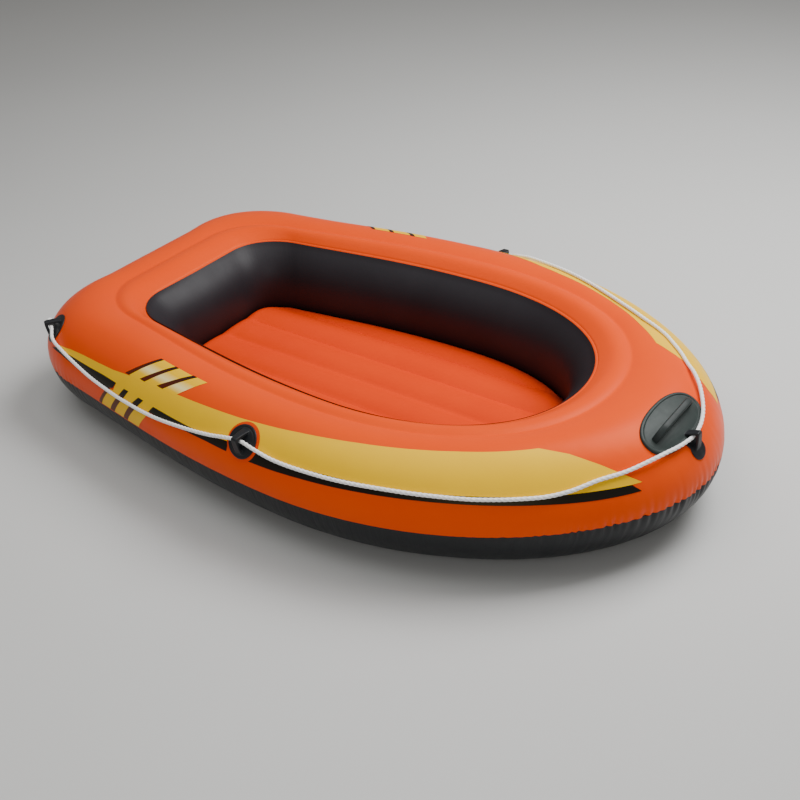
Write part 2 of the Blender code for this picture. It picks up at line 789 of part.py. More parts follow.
def bow_pad(form_rim, form_floor, form_in, notch):
    """Oval rubbing pad on the bow, its raised rim cut away where the bow rope holder stands."""
    placed = bow_frame(PAD_ANGLE, Vector((1.0, 0.0, 0.0)))
    edge = oval(PAD_WIDTH / 2, PAD_LENGTH / 2, PAD_STEPS, PAD_SQUARENESS)
    bm = prism(edge, -PAD_DROP, PAD_STAND)
    pad = add_object("bow_pad", mesh_from(bm, "bow_pad"), "moulding")
    fit_patch(pad, placed, form_rim, form_in)
    inner_edge = oval(PAD_WIDTH / 2 - PAD_RIM, PAD_LENGTH / 2 - PAD_RIM, PAD_STEPS, PAD_SQUARENESS)
    inner = prism(inner_edge, -PAD_DROP - 0.010, PAD_STAND + 0.010)
    hollow = as_guide(add_object("bow_pad_hollow_form", mesh_from(inner, "bow_pad_hollow_form")))
    hollow.matrix_world = placed
    boolean(hollow, form_floor, "DIFFERENCE")
    boolean(pad, hollow, "DIFFERENCE")
    boolean(pad, notch, "DIFFERENCE")
    return pad


def bow_grip(form_pad):
    """Grip across the bow: a bar on two feet, with room under it for small fingers."""
    placed = bow_frame(PAD_ANGLE, Vector((1.0, 0.0, 0.0)))
    half = GRIP_LENGTH / 2
    low = -GRIP_REACH
    under = GRIP_HEIGHT - GRIP_BAR
    # The feet reach down the curve of the bow, and the ends of the bar slope into them
    profile = [(-half, low), (-half, 0.1 * GRIP_HEIGHT), (-half + 0.6 * GRIP_FOOT, 0.75 * GRIP_HEIGHT),
               (-half + 1.4 * GRIP_FOOT, GRIP_HEIGHT), (half - 1.4 * GRIP_FOOT, GRIP_HEIGHT),
               (half - 0.6 * GRIP_FOOT, 0.75 * GRIP_HEIGHT), (half, 0.1 * GRIP_HEIGHT), (half, low),
               (half - GRIP_FOOT, low), (half - GRIP_FOOT, 0.5 * under),
               (half - 1.5 * GRIP_FOOT, under), (-half + 1.5 * GRIP_FOOT, under),
               (-half + GRIP_FOOT, 0.5 * under), (-half + GRIP_FOOT, low)]
    bm = bmesh.new()
    face = bm.faces.new([bm.verts.new((-GRIP_WIDTH / 2, y, z)) for y, z in profile])
    pushed = bmesh.ops.extrude_face_region(bm, geom=[face])
    moved = [g for g in pushed["geom"] if isinstance(g, bmesh.types.BMVert)]
    bmesh.ops.translate(bm, vec=Vector((GRIP_WIDTH, 0.0, 0.0)), verts=moved)
    bmesh.ops.recalc_face_normals(bm, faces=bm.faces[:])
    rails = [e for e in bm.edges if abs(e.verts[0].co.x - e.verts[1].co.x) < 1e-6]
    bmesh.ops.bevel(bm, geom=rails, offset=GRIP_ROUNDING * GRIP_WIDTH, segments=2, profile=0.5, affect="EDGES")
    grip = add_object("bow_grip", mesh_from(bm, "bow_grip"), "moulding")
    grip.matrix_world = placed
    boolean(grip, form_pad, "DIFFERENCE")
    return grip


def edge_steps():
    """Length of the hull's edge from each station to the next."""
    return [(OUTER[(i + 1) % STATIONS] - OUTER[i]).length for i in range(STATIONS)]


def edge_run(index):
    """Distance along the hull's edge from the middle of the stern over port to a station."""
    steps = edge_steps()
    low = math.floor(index)
    return sum(steps[:low]) + steps[low] * (index - low)


def index_at_run(run):
    """Station index at a distance along the hull's edge from the middle of the stern over port."""
    for i, step in enumerate(edge_steps()):
        if run <= step:
            return i + run / step
        run -= step
    return STATIONS


def smooth_through(points, pitch):
    """Points of a smooth curve through the given ones, spaced evenly at about the pitch."""
    fine = []
    for i in range(len(points) - 1):
        before = points[max(i - 1, 0)]
        after = points[min(i + 2, len(points) - 1)]
        a, b = points[i], points[i + 1]
        chord = (b - a).length
        lean_a = (b - before).normalized() * (chord / 3)
        lean_b = (after - a).normalized() * (chord / 3)
        fine += bezier((a, a + lean_a, b - lean_b, b), 12)
    fine.append(points[-1])
    length = sum((b - a).length for a, b in zip(fine, fine[1:]))
    count = round(length / pitch) + 1
    spaced = [fine[0]]
    run = 0.0
    for a, b in zip(fine, fine[1:]):
        step = (b - a).length
        while len(spaced) < count - 1 and run + step >= length * len(spaced) / (count - 1):
            spaced.append(a.lerp(b, (length * len(spaced) / (count - 1) - run) / step))
        run += step
    spaced.append(fine[-1])
    return spaced


def grab_line(eyes, stations):
    """Grab line through all five holders, with a stopper knot behind each stern holder."""
    lie = ROPE / 2 + ROPE_CLEARANCE
    near = EYE_AXIS - ROPE_SAG
    over = GAP + PATCH + PAD_RIM_HEIGHT + ROPE / 2 + 1.4 * ROPE_CLEARANCE
    # Each stop: share of the way along the hull's edge between two holders, angle up its round side
    # and height off the sheet
    runs = [[(0.058, 32, near), (0.124, 29, lie), (0.213, 28, lie), (0.304, 25, lie), (0.393, 20, lie),
             (0.480, 17, lie), (0.632, 18.5, lie), (0.768, 24, lie), (0.875, 29, lie), (0.943, 33, near)],
            [(0.042, 33, near), (0.089, 30.5, lie), (0.160, 30, lie), (0.253, 30, lie), (0.359, 30.5, lie),
             (0.441, 30, lie), (0.535, 29, lie), (0.645, 29.5, lie), (0.705, 32, lie), (0.769, 37, lie),
             (0.828, 38.5, lie), (0.884, 40.5, over), (0.922, 41, over), (0.958, 40.5, over)],
            [(0.043, 41, over), (0.108, 47, over), (0.177, 53, lie), (0.235, 61, lie), (0.287, 63, lie),
             (0.366, 62, lie), (0.420, 67, lie), (0.459, 72, lie), (0.516, 75, lie), (0.580, 75, lie),
             (0.692, 78, lie), (0.791, 79, lie), (0.847, 75, lie), (0.898, 63, lie), (0.931, 48, lie),
             (0.959, 35, near)],
            [(0.057, 27, near), (0.133, 25, lie), (0.243, 22, lie), (0.386, 19, lie), (0.528, 18, lie),
             (0.670, 20, lie), (0.797, 21, lie), (0.876, 21, lie), (0.942, 22, near)]]
    # The line runs with the eye's X to starboard and at the bow, and against it to port
    reach = EYE_WIDTH / 2 + GAP
    ways = (1.0, 1.0, 1.0, -1.0, -1.0)
    entries = [eye @ Vector((-way * reach, 0.0, EYE_AXIS)) for eye, way in zip(eyes, ways)]
    exits = [eye @ Vector((way * reach, 0.0, EYE_AXIS)) for eye, way in zip(eyes, ways)]
    points = [entries[0]]
    for k, stops in enumerate(runs):
        route = [exits[k]]
        start, end = edge_run(stations[k]), edge_run(stations[k + 1])
        for share, angle, lift in stops:
            station = Station(index_at_run(start + (end - start) * share))
            route.append(station.arc(angle) + station.arc_normal(angle) * lift)
        route.append(entries[k + 1])
        points += smooth_through(route, ROPE_PITCH)
    points.append(exits[-1])
    curve = bpy.data.curves.new("grab_line", "CURVE")
    curve.dimensions = "3D"
    curve.bevel_depth = ROPE / 2
    curve.bevel_resolution = 2
    curve.use_fill_caps = True
    spline = curve.splines.new("POLY")
    spline.points.add(len(points) - 1)
    for place, point in zip(spline.points, points):
        place.co = (*point, 1.0)
    line = add_object("grab_line", curve, "rope")
    for side, end, before in (("starboard", points[0], points[1]), ("port", points[-1], points[-2])):
        stopper_knot("grab_line_knot_" + side, end, (end - before).normalized())
    return line


def stopper_knot(name, end, heading):
    """Pulled-tight stopper knot at a cut end of the grab line, drawn up against its holder."""
    bulge = [(0.0, 0.0), (0.72, 0.02), (1.0, 0.25), (0.86, 0.45), (1.0, 0.66), (0.70, 0.94), (0.0, 1.0)]
    bm = turned([(KNOT_RADIUS * r, KNOT_LENGTH * z) for r, z in bulge])
    knot = add_object(name, mesh_from(bm, name), "rope")
    side = Vector((0.0, 0.0, 1.0)).cross(heading)
    knot.matrix_world = frame_at(end + heading * GAP, heading, side)
    return knot


def hole_in(skin, name, placed, radius):
    bm = turned([(0.0, -0.03), (radius, -0.03), (radius, 0.03), (0.0, 0.03)])
    cutter = as_guide(add_object(name, mesh_from(bm, name)))
    cutter.matrix_world = placed
    boolean(skin, cutter, "DIFFERENCE")


def valve(tag, placed, skin, form_out, form_in):
    """Push-in valve: moulded cup, sliding stem, plug on its strap and check flap."""
    hole_in(skin, tag + "_hole_form", placed, CUP_RADIUS + GAP)
    collar = CUP_RADIUS - BODY_LAP
    bm = turned([(collar, -BODY_REACH), (VALVE_FLANGE_RADIUS, -BODY_REACH),
                 (VALVE_FLANGE_RADIUS, BODY_REACH), (collar, BODY_REACH)])
    body = add_object(tag + "_body", mesh_from(bm, tag + "_body"), "valve")
    fit_patch(body, placed, form_out, form_in)
    inner = CUP_RADIUS - CUP_WALL
    slot = STEM_RADIUS + GAP
    bm = turned([(slot, -CUP_DEPTH), (CUP_RADIUS, -CUP_DEPTH), (CUP_RADIUS, CUP_LIP), (inner, CUP_LIP),
                 (inner, -CUP_DEPTH + CUP_WALL), (slot, -CUP_DEPTH + CUP_WALL)])
    cup = as_guide(add_object(tag + "_cup_form", mesh_from(bm, tag + "_cup_form")))
    cup.matrix_world = placed
    boolean(body, cup, "UNION")

    bm = turned([(STEM_BORE, STEM_TOP - STEM_LENGTH), (STEM_RADIUS, STEM_TOP - STEM_LENGTH),
                 (STEM_RADIUS, STEM_TOP - STEM_LIP), (STEM_LIP_RADIUS, STEM_TOP - STEM_LIP),
                 (STEM_LIP_RADIUS, STEM_TOP), (STEM_BORE, STEM_TOP)])
    stem = add_object(tag + "_stem", mesh_from(bm, tag + "_stem"), "valve")
    stem.matrix_world = placed

    hinge = placed @ Matrix.Translation((-HINGE_OFFSET, 0.0, STEM_TOP + GAP))
    bm = turned([(0.0, -PLUG_DEPTH), (PLUG_TIP_RADIUS, -PLUG_DEPTH), (STEM_BORE - PLUG_CLEARANCE, 0.0),
                 (PLUG_HEAD_RADIUS, 0.0), (PLUG_HEAD_RADIUS, PLUG_HEAD), (0.0, PLUG_HEAD)])
    bmesh.ops.translate(bm, vec=Vector((HINGE_OFFSET, 0.0, 0.0)), verts=bm.verts[:])
    plug = add_object(tag + "_plug", mesh_from(bm, tag + "_plug"), "valve")
    plug.matrix_world = hinge
    tab_end = HINGE_OFFSET - 0.7 * PLUG_HEAD_RADIUS
    half = STRAP_WIDTH / 2
    bm = prism([(0.0, -half), (tab_end, -half), (tab_end, half), (0.0, half)], TAB_LOW, TAB_LOW + TAB)
    tab = as_guide(add_object(tag + "_tab_form", mesh_from(bm, tag + "_tab_form")))
    tab.matrix_world = hinge
    boolean(plug, tab, "UNION")

    ear_in = STEM_LIP_RADIUS - EAR_LAP
    ear_out = HINGE_OFFSET + EAR_END
    bm = prism([(-ear_out, -half), (-ear_in, -half), (-ear_in, half), (-ear_out, half)],
               STEM_TOP - STEM_LIP, STEM_TOP - STEM_LIP + EAR)
    ear = as_guide(add_object(tag + "_ear_form", mesh_from(bm, tag + "_ear_form")))
    ear.matrix_world = placed
    boolean(stem, ear, "UNION")

    radius = STEM_RADIUS - FLAP_INSET
    flap_hinge = placed @ Matrix.Translation((-radius, 0.0, STEM_TOP - STEM_LENGTH - FLAP_GAP))
    bm = turned([(0.0, -FLAP), (radius, -FLAP), (radius, 0.0), (0.0, 0.0)])
    bmesh.ops.translate(bm, vec=Vector((radius, 0.0, 0.0)), verts=bm.verts[:])
    flap = add_object(tag + "_flap", mesh_from(bm, tag + "_flap"), "valve")
    flap.matrix_world = flap_hinge
    return body


def floor_form(name, swell):
    """Closed form of the floor's top, swollen by a little, that the floor valve is fitted to."""
    bm = floor_plan(beam_lines(), True)
    for vert in bm.verts:
        vert.co.z = floor_top_height(vert.co)
    bm.normal_update()
    moves = [(v, v.normal * swell) for v in bm.verts]
    for vert, move in moves:
        vert.co += move
    pushed = bmesh.ops.extrude_face_region(bm, geom=bm.faces[:])
    sunk = [g for g in pushed["geom"] if isinstance(g, bmesh.types.BMVert)]
    for vert in sunk:
        vert.co.z = 0.5 * FLANGE_UNDER
    bmesh.ops.recalc_face_normals(bm, faces=bm.faces[:])
    return as_guide(add_object(name, mesh_from(bm, name)))


def build():
    clear_scene()
    top = ring_sheet("hull_top_skin", top_section, "vinyl_orange")
    ring_sheet("hull_bottom_skin", bottom_section, "vinyl_grey")
    wall = ring_sheet("cockpit_wall_skin", wall_section, "vinyl_grey")
    ring_sheet("chamber_divider", divider_section, "vinyl_grey")
    floor = floor_top()
    floor_bottom()
    names = ("port_outer", "port_inner", "centre", "starboard_inner", "starboard_outer")
    for name, k in zip(names, (2, 1, 0, -1, -2)):
        floor_web("floor_web_" + name, k * BEAM_PITCH)

    form_in = ring_form("hull_form", GAP)
    form_patch = ring_form("patch_form", GAP + PATCH)
    form_pad_rim = ring_form("pad_rim_form", GAP + PATCH + PAD_RIM_HEIGHT)
    form_over_pad = ring_form("over_pad_form", 2 * GAP + PATCH)
    form_valve = ring_form("valve_form", GAP + VALVE_FLANGE)

    disc = oval(HOLDER_RADIUS, HOLDER_RADIUS, DISC_STEPS)
    eyes = {}
    for side in ("port", "starboard"):
        starboard = side == "starboard"
        mid = outer_frame(station_at_x(MID_HOLDER_X, starboard), MID_HOLDER_ANGLES[side])
        rope_holder("rope_holder_" + side, mid, form_patch, form_in, disc)
        stern = outer_frame(station_at_x(STERN_HOLDER_X, starboard), STERN_HOLDER_ANGLES[side])
        rope_holder("stern_rope_holder_" + side, stern, form_patch, form_in, disc)
        eyes[side] = (mid, stern)

    bow_eye = bow_frame(BOW_EYE_ANGLE, Vector((0.0, 1.0, 0.0)))
    foot = teardrop(TOE_RADIUS, FOOT_RADIUS, FOOT_SPAN, DISC_STEPS // 2)
    rope_holder("bow_rope_holder", bow_eye, form_patch, form_in, foot)
    notch_edge = teardrop(TOE_RADIUS + GAP, FOOT_RADIUS + GAP, FOOT_SPAN, DISC_STEPS // 2)
    bm = prism(notch_edge, -PAD_DROP, PAD_DROP)
    notch = as_guide(add_object("pad_notch_form", mesh_from(bm, "pad_notch_form")))
    notch.matrix_world = bow_eye
    bow_pad(form_pad_rim, form_patch, form_in, notch)
    bow_grip(form_over_pad)
    port_mid, port_stern = eyes["port"]
    starboard_mid, starboard_stern = eyes["starboard"]
    stations = [station_at_x(STERN_HOLDER_X, True), station_at_x(MID_HOLDER_X, True),
                station_at_y(FITTING_SIDE), station_at_x(MID_HOLDER_X, False),
                station_at_x(STERN_HOLDER_X, False)]
    grab_line([starboard_stern, starboard_mid, bow_eye, port_mid, port_stern], stations)

    stern_valve = frame_at(Station(0).arc(STERN_VALVE_ANGLE), Station(0).arc_normal(STERN_VALVE_ANGLE),
                           Vector((0.0, 0.0, -1.0)))
    valve("outer_valve", stern_valve, top, form_valve, form_in)

    side = Station(station_at_x(WALL_VALVE_X, True))
    inboard = Vector((side.inboard.x, side.inboard.y, 0.0))
    wall_valve = frame_at(side.wall(0.5), inboard, Vector((0.0, 0.0, -1.0)))
    valve("inner_valve", wall_valve, wall, form_valve, form_in)

    spot = Vector((FLOOR_VALVE_X, -1.5 * BEAM_PITCH, 0.0))
    spot.z = floor_top_height(spot)
    floor_valve = frame_at(spot, Vector((0.0, 0.0, 1.0)), Vector((1.0, 0.0, 0.0)))
    floor_out = floor_form("floor_valve_form", GAP + VALVE_FLANGE)
    floor_in = floor_form("floor_form", GAP)
    valve("floor_valve", floor_valve, floor, floor_out, floor_in)


build()
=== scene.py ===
# %% [markdown]
# # An inflatable kids boat, dressed for its picture
#
# The boat is welded from printed vinyl sheet and blown up by mouth or with a small pump.
# Its solid model is loaded first and stays as it is.
# Each step below puts a finer piece over a solid, or gives a solid a real finish.

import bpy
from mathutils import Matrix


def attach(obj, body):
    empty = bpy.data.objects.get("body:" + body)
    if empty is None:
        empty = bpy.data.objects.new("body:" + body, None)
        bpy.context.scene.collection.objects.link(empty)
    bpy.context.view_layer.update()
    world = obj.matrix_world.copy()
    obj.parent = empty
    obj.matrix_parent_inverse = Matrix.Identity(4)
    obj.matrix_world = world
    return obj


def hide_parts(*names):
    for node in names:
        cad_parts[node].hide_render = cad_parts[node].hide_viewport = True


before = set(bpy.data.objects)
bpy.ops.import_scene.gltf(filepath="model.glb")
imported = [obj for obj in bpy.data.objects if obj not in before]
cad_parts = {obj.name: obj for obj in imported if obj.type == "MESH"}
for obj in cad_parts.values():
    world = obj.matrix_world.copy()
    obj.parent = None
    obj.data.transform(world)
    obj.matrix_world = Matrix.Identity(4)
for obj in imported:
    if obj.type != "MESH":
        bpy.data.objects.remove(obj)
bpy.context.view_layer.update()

# %% Modules
import math

import bmesh
import bpy
import numpy as np
from mathutils import Matrix, Vector
from mathutils.bvhtree import BVHTree

# %% [markdown]
# ## Camera
#
# The boat is seen from its starboard side, from above and a little from the bow.
# The camera leans by a few degrees, because the boat is tilted in the picture.
# The place, the turn and the lens were found by laying the solid's edges over the picture.

# %% Camera
CAMERA_AZIMUTH, CAMERA_HEIGHT, CAMERA_ROLL = 39.158, 32.864, -4.546
CAMERA_PLACE = Vector((1.298, -1.547, 1.335))
LENS = 54.47

camera = bpy.data.objects.new("camera", bpy.data.cameras.new("camera"))
bpy.context.scene.collection.objects.link(camera)
camera.data.lens = LENS
camera.data.sensor_width = 36.0
turn, lift = math.radians(CAMERA_AZIMUTH), math.radians(CAMERA_HEIGHT)
back = Vector((math.sin(turn) * math.cos(lift), -math.cos(turn) * math.cos(lift), math.sin(lift)))
level = Vector((math.cos(turn), math.sin(turn), 0.0))
above = back.cross(level)
roll = math.radians(CAMERA_ROLL)
right = level * math.cos(roll) + above * math.sin(roll)
upright = above * math.cos(roll) - level * math.sin(roll)
view = Matrix((right, upright, back)).transposed().to_4x4()
view.translation = CAMERA_PLACE
camera.matrix_world = view
bpy.context.scene.camera = camera
print("camera at", [round(x, 3) for x in CAMERA_PLACE], "lens", LENS)

# %% [markdown]
# ## The form of the hull
#
# Three lines seen from above shape the boat: its outer edge, the crease of the deck and the rim of the cockpit.
# Each is a chain of cubic curves: a flat stern, a round quarter, a swelling side and the bow.
# A place on a line is counted from 0 at the middle of the stern, over port, to 26 at the bow and on to 52.
# With such lines as functions, a sheet can be laid at any fineness, and the rope and the prints lie on it.

# %% Sizes of the hull, in metres
LENGTH, BEAM, TUBE_HEIGHT = 1.370, 0.850, 0.226
BEAM_STATION, TRANSOM_HALF, STERN_CORNER = 0.066, 0.360, 0.175
BOW_FULLNESS, BOW_BLUNTNESS = 0.60, 0.436
RING_STERN, RING_QUARTER, RING_SIDE, RING_BOW = 0.197, 0.154, 0.172, 0.249
RIM_CORNER, SOLID_RIM_CORNER, RIM_BLUNTNESS = 0.098, 0.077, 0.61
CREASE_STERN, CREASE_QUARTER, CREASE_SIDE, CREASE_BOW, CREASE_CORNER = 0.072, 0.030, 0.049, 0.065, 0.126
WIDEST_HEIGHT, CROWN_INSET, CROWN_TURN, CREASE_FALL = 0.118, 0.138, 62.0, 22.0
BILGE_INSET, BEARING_STRIP, KEEL_EASE, KEEL_CREASE = 0.126, 0.004, 0.005, 0.003
CREASE_HEIGHT, RIM_HEIGHT, DECK_SWELL, SEAM_HEIGHT = 0.214, 0.198, 0.0075, 0.106
WALL_SWELL, SWELL_HEIGHT = 0.050, 0.110
SKIN, GAP, SEAM_FLANGE, RIM_FLANGE = 0.0012, 0.0003, 0.008, 0.008
WELD_INSET, WELD_HEIGHT, LAP_START, FLOOR_FLANGE = 0.020, 0.028, 0.006, 0.009
EDGE_ROUND, FLOOR_TOP, BEAM_PITCH, BEAM_CROWN = 0.023, 0.066, 0.076, 0.0095
FLANGE_TOP = WELD_HEIGHT + 3 * (SKIN + GAP) + SKIN
CUP_HOLE = 0.0158
ROUND, HALF_ROUND = 52, 26

# %% Plan lines
QUARTER_FLARE, CORNER_PULLS, SIDE_PULLS = 1.6, (0.6, 0.5), (0.33, 0.4)


def arrays(*values):
    """Numbers and arrays as arrays of one shape."""
    return np.broadcast_arrays(*(np.asarray(value, float) for value in values))


def cubic(ends, share):
    """Points of a cubic curve at the given shares of its way."""
    p = [np.asarray(end, float) for end in ends]
    t = np.asarray(share, float)[..., None]
    s = 1.0 - t
    return p[0] * s ** 3 + p[1] * (3 * s * s * t) + p[2] * (3 * s * t * t) + p[3] * t ** 3


def runs_along(line):
    """Distances along a line of points, from its start."""
    return np.concatenate(([0.0], np.cumsum(np.linalg.norm(np.diff(line, axis=0), axis=1))))


def plan_line(stern_x, bow_x, quarter_half, side_half, corner, blunt):
    """Closed line seen from above, as a function of the place on it."""
    centre, tip = np.array((stern_x, 0.0)), np.array((bow_x, 0.0))
    inner = np.array((stern_x, quarter_half - corner))
    outer = np.array((stern_x + corner, quarter_half))
    widest = np.array((BEAM_STATION, side_half))
    run = BEAM_STATION - outer[0]
    heading = np.array((1.0, QUARTER_FLARE * (side_half - quarter_half) / (BEAM_STATION - stern_x)))
    up, round_off = (0.0, CORNER_PULLS[0] * corner), heading * (CORNER_PULLS[1] * corner)
    along, back_off = heading * (SIDE_PULLS[0] * run), (SIDE_PULLS[1] * run, 0.0)
    full, bluntly = ((bow_x - BEAM_STATION) * BOW_FULLNESS, 0.0), (0.0, side_half * blunt)
    legs = (
        (0, 3, (centre, centre + (inner - centre) / 3, centre + (inner - centre) * 2 / 3, inner)),
        (3, 8, (inner, inner + up, outer - round_off, outer)),
        (8, 15, (outer, outer + along, widest - back_off, widest)),
        (15, 26, (widest, widest + full, tip + bluntly, tip)),
    )

    def at(place):
        place = np.mod(np.asarray(place, float), ROUND)
        over = place > HALF_ROUND
        one_side = np.where(over, ROUND - place, place)
        points = np.zeros(place.shape + (2,))
        for low, high, ends in legs:
            here = (one_side >= low) & (one_side <= high)
            points[here] = cubic(ends, (one_side[here] - low) / (high - low))
        points[..., 1] *= np.where(over, -1.0, 1.0)
        return points

    return at


rim_sizes = (RING_STERN - LENGTH / 2, LENGTH / 2 - RING_BOW, TRANSOM_HALF - RING_QUARTER, BEAM / 2 - RING_SIDE)
rim_stern, rim_bow, rim_quarter, rim_side = rim_sizes
outer_line = plan_line(-LENGTH / 2, LENGTH / 2, TRANSOM_HALF, BEAM / 2, STERN_CORNER, BOW_BLUNTNESS)
rim_line = plan_line(*rim_sizes, RIM_CORNER, RIM_BLUNTNESS)
crease_line = plan_line(rim_stern - CREASE_STERN, rim_bow + CREASE_BOW, rim_quarter + CREASE_QUARTER,
                        rim_side + CREASE_SIDE, CREASE_CORNER, RIM_BLUNTNESS)
PLACES = np.linspace(0.0, ROUND, 5201)
RUNS = runs_along(outer_line(PLACES))
GIRTH = RUNS[-1]


def place_at(run):
    """Place on the hull at a distance along its outer edge from the stern over port."""
    return np.interp(run, RUNS, PLACES)


def run_at(place):
    return np.interp(place, PLACES, RUNS)


print(f"girth of the hull {GIRTH:.3f} m, half of it {GIRTH / 2:.3f} m")


# %% Cross-section of the round side
def level_point(plan, height):
    """A point over a place of the plan."""
    height = np.broadcast_to(height, plan.shape[:-1])
    return np.concatenate((plan, height[..., None]), axis=-1)


def unit(vectors):
    return vectors / np.maximum(np.linalg.norm(vectors, axis=-1, keepdims=True), 1e-12)


def inwards(place, line):
    """Level direction from the outer edge to another line of the plan."""
    return unit(line(place) - outer_line(place))


def profile(place, angle):
    """Inset and height on the round side: 0 is the widest line, -90 the bilge and 90 the crease."""
    width = np.linalg.norm(crease_line(place) - outer_line(place), axis=-1)
    crown = np.minimum(CROWN_INSET, width)
    bilge = np.minimum(BILGE_INSET, width - KEEL_EASE - BEARING_STRIP)
    upper = angle > 0.0
    reach = np.where(upper, crown, bilge)
    rise = np.where(upper, TUBE_HEIGHT - WIDEST_HEIGHT, WIDEST_HEIGHT)
    turn = np.radians(np.minimum(angle, CROWN_TURN))
    inset, height = reach * (1.0 - np.cos(turn)), WIDEST_HEIGHT + rise * np.sin(turn)
    # Above the crown the divider draws the sheet down to the crease
    end = np.stack((inset, height), axis=-1)
    crease = np.stack((width, np.full_like(width, CREASE_HEIGHT)), axis=-1)
    third = np.linalg.norm(crease - end, axis=-1, keepdims=True) / 3
    rising = unit(np.stack((reach * np.sin(turn), rise * np.cos(turn)), axis=-1)) * third
    fall = math.radians(CREASE_FALL)
    falling = np.array((math.cos(fall), -math.sin(fall))) * third
    share = np.clip((angle - CROWN_TURN) / (90.0 - CROWN_TURN), 0.0, 1.0)
    return cubic((end, end + rising, crease - falling, crease), share)


def side_point(place, angle):
    """Point on the round side of the hull."""
    place, angle = arrays(place, angle)
    inset_height = profile(place, angle)
    return level_point(outer_line(place) + inwards(place, crease_line) * inset_height[..., :1], inset_height[..., 1])


def side_normal(place, angle):
    place, angle = arrays(place, angle)
    up = side_point(place, np.minimum(angle + 0.5, 90.0)) - side_point(place, np.maximum(angle - 0.5, -90.0))
    ahead = side_point(place + 0.02, angle) - side_point(place - 0.02, angle)
    return unit(np.cross(up, ahead))


print("middle of the stern at 38 degrees:", np.round(side_point(0.0, 38.0), 3))

# %% Cross-sections of the deck, the wall and the keel
DECK_BEND = 2.2
LIP_PULL, UPPER_PULL, LOWER_PULL, FOOT_PULL = (0.022, 0.020), 0.045, 0.035, (0.010, 0.013)
WALL_FOOT = WELD_HEIGHT + 2 * SKIN + GAP
WALL_UPPER = ((0.0, RIM_HEIGHT), (LIP_PULL[0], RIM_HEIGHT - LIP_PULL[1]), (WALL_SWELL, SWELL_HEIGHT + UPPER_PULL),
              (WALL_SWELL, SWELL_HEIGHT))
WALL_LOWER = ((WALL_SWELL, SWELL_HEIGHT), (WALL_SWELL, SWELL_HEIGHT - LOWER_PULL),
              (WALL_SWELL - FOOT_PULL[0], WALL_FOOT + FOOT_PULL[1]), (WELD_INSET, WALL_FOOT))


def deck_point(place, share):
    """Top of the inner chamber, from the crease at 0 to the rim at 1."""
    place, share = arrays(place, share)
    plan = crease_line(place) + (rim_line(place) - crease_line(place)) * share[..., None]
    swell = DECK_SWELL * np.sin(math.pi * share) * (1.0 - share ** 2)
    return level_point(plan, CREASE_HEIGHT + (RIM_HEIGHT - CREASE_HEIGHT) * share ** DECK_BEND + swell)


def from_rim(place, inset, height):
    """Point measured inwards from the rim of the cockpit."""
    place, inset, height = arrays(place, inset, height)
    return level_point(rim_line(place) + inwards(place, rim_line) * inset[..., None], height)


def wall_point(place, share):
    """Cockpit wall, from the rim at 0 over its swell to the floor weld at 1."""
    share = np.asarray(share, float)
    curve = np.where((share < 0.5)[..., None], cubic(WALL_UPPER, 2 * share), cubic(WALL_LOWER, 2 * share - 1))
    return from_rim(place, curve[..., 0], curve[..., 1])


def keel_point(place, share):
    """Underside of the inner chamber, from the crease at 0 to the floor weld at 1."""
    place, share = arrays(place, share)
    foot = rim_line(place) + inwards(place, rim_line) * WELD_INSET
    plan = crease_line(place) + (foot - crease_line(place)) * share[..., None]
    return level_point(plan, KEEL_CREASE + (WELD_HEIGHT - KEEL_CREASE) * share ** 2)


print("swell of the wall at the stern:", np.round(wall_point(0.0, 0.5), 3))


# %% Placements on the hull
def placement(origin, normal, along):
    z_axis = Vector(normal).normalized()
    along = Vector(along)
    x_axis = (along - z_axis * along.dot(z_axis)).normalized()
    placed = Matrix((x_axis, z_axis.cross(x_axis), z_axis)).transposed().to_4x4()
    placed.translation = Vector(origin)
    return placed


def side_placement(place, angle):
    """On the round side, local X along the hull towards the bow."""
    ahead = side_point(place + 0.05, angle) - side_point(place - 0.05, angle)
    if place > HALF_ROUND:
        ahead = -ahead
    return placement(side_point(place, angle), side_normal(place, angle), ahead)


def place_at_x(x, starboard):
    """Place on one side where the outer edge lies at x."""
    side = np.linspace(5.0, 25.0, 2001)
    place = float(np.interp(x, outer_line(side)[:, 0], side))
    return ROUND - place if starboard else place


def place_at_y(y):
    """Place round the bow where the outer edge lies at y."""
    bow = np.linspace(16.0, 36.0, 2001)
    return float(np.interp(-y, -outer_line(bow)[:, 1], bow))


# %% Places of the valves
STERN_VALVE_ANGLE, WALL_VALVE_X, FLOOR_VALVE_X = 38.0, -0.150, -0.235
down = Vector((0.0, 0.0, -1.0))
wall_place = place_at_x(WALL_VALVE_X, True)
# The solid's rim has tighter corners, and the inner valve's joints turn about the solid's own axes
solid_rim = plan_line(*rim_sizes, SOLID_RIM_CORNER, RIM_BLUNTNESS)
wall_inboard = inwards(wall_place, solid_rim)
wall_spot = solid_rim(wall_place) + wall_inboard * WALL_SWELL
valve_places = {
    "outer_valve": placement(side_point(0.0, STERN_VALVE_ANGLE), side_normal(0.0, STERN_VALVE_ANGLE), down),
    "inner_valve": placement((*wall_spot, SWELL_HEIGHT), (*wall_inboard, 0.0), down),
    "floor_valve": placement((FLOOR_VALVE_X, -1.5 * BEAM_PITCH, FLOOR_TOP), -down, (1.0, 0.0, 0.0)),
}
for tag, placed in valve_places.items():
    print(tag, [round(c, 4) for c in placed.translation], [round(c, 3) for c in placed.col[2][:3]])

# %% [markdown]
# ## Laying a sheet
#
# A welded sheet starts as a flat grid, as it lies on the maker's table, and is wrapped to its place.
# The grid keeps a UV map in metres, along and across the sheet, so that a finish can follow it.
# Solidify then gives it the thickness of the vinyl.

# %% Helpers for objects
UP = Vector((0.0, 0.0, 1.0))


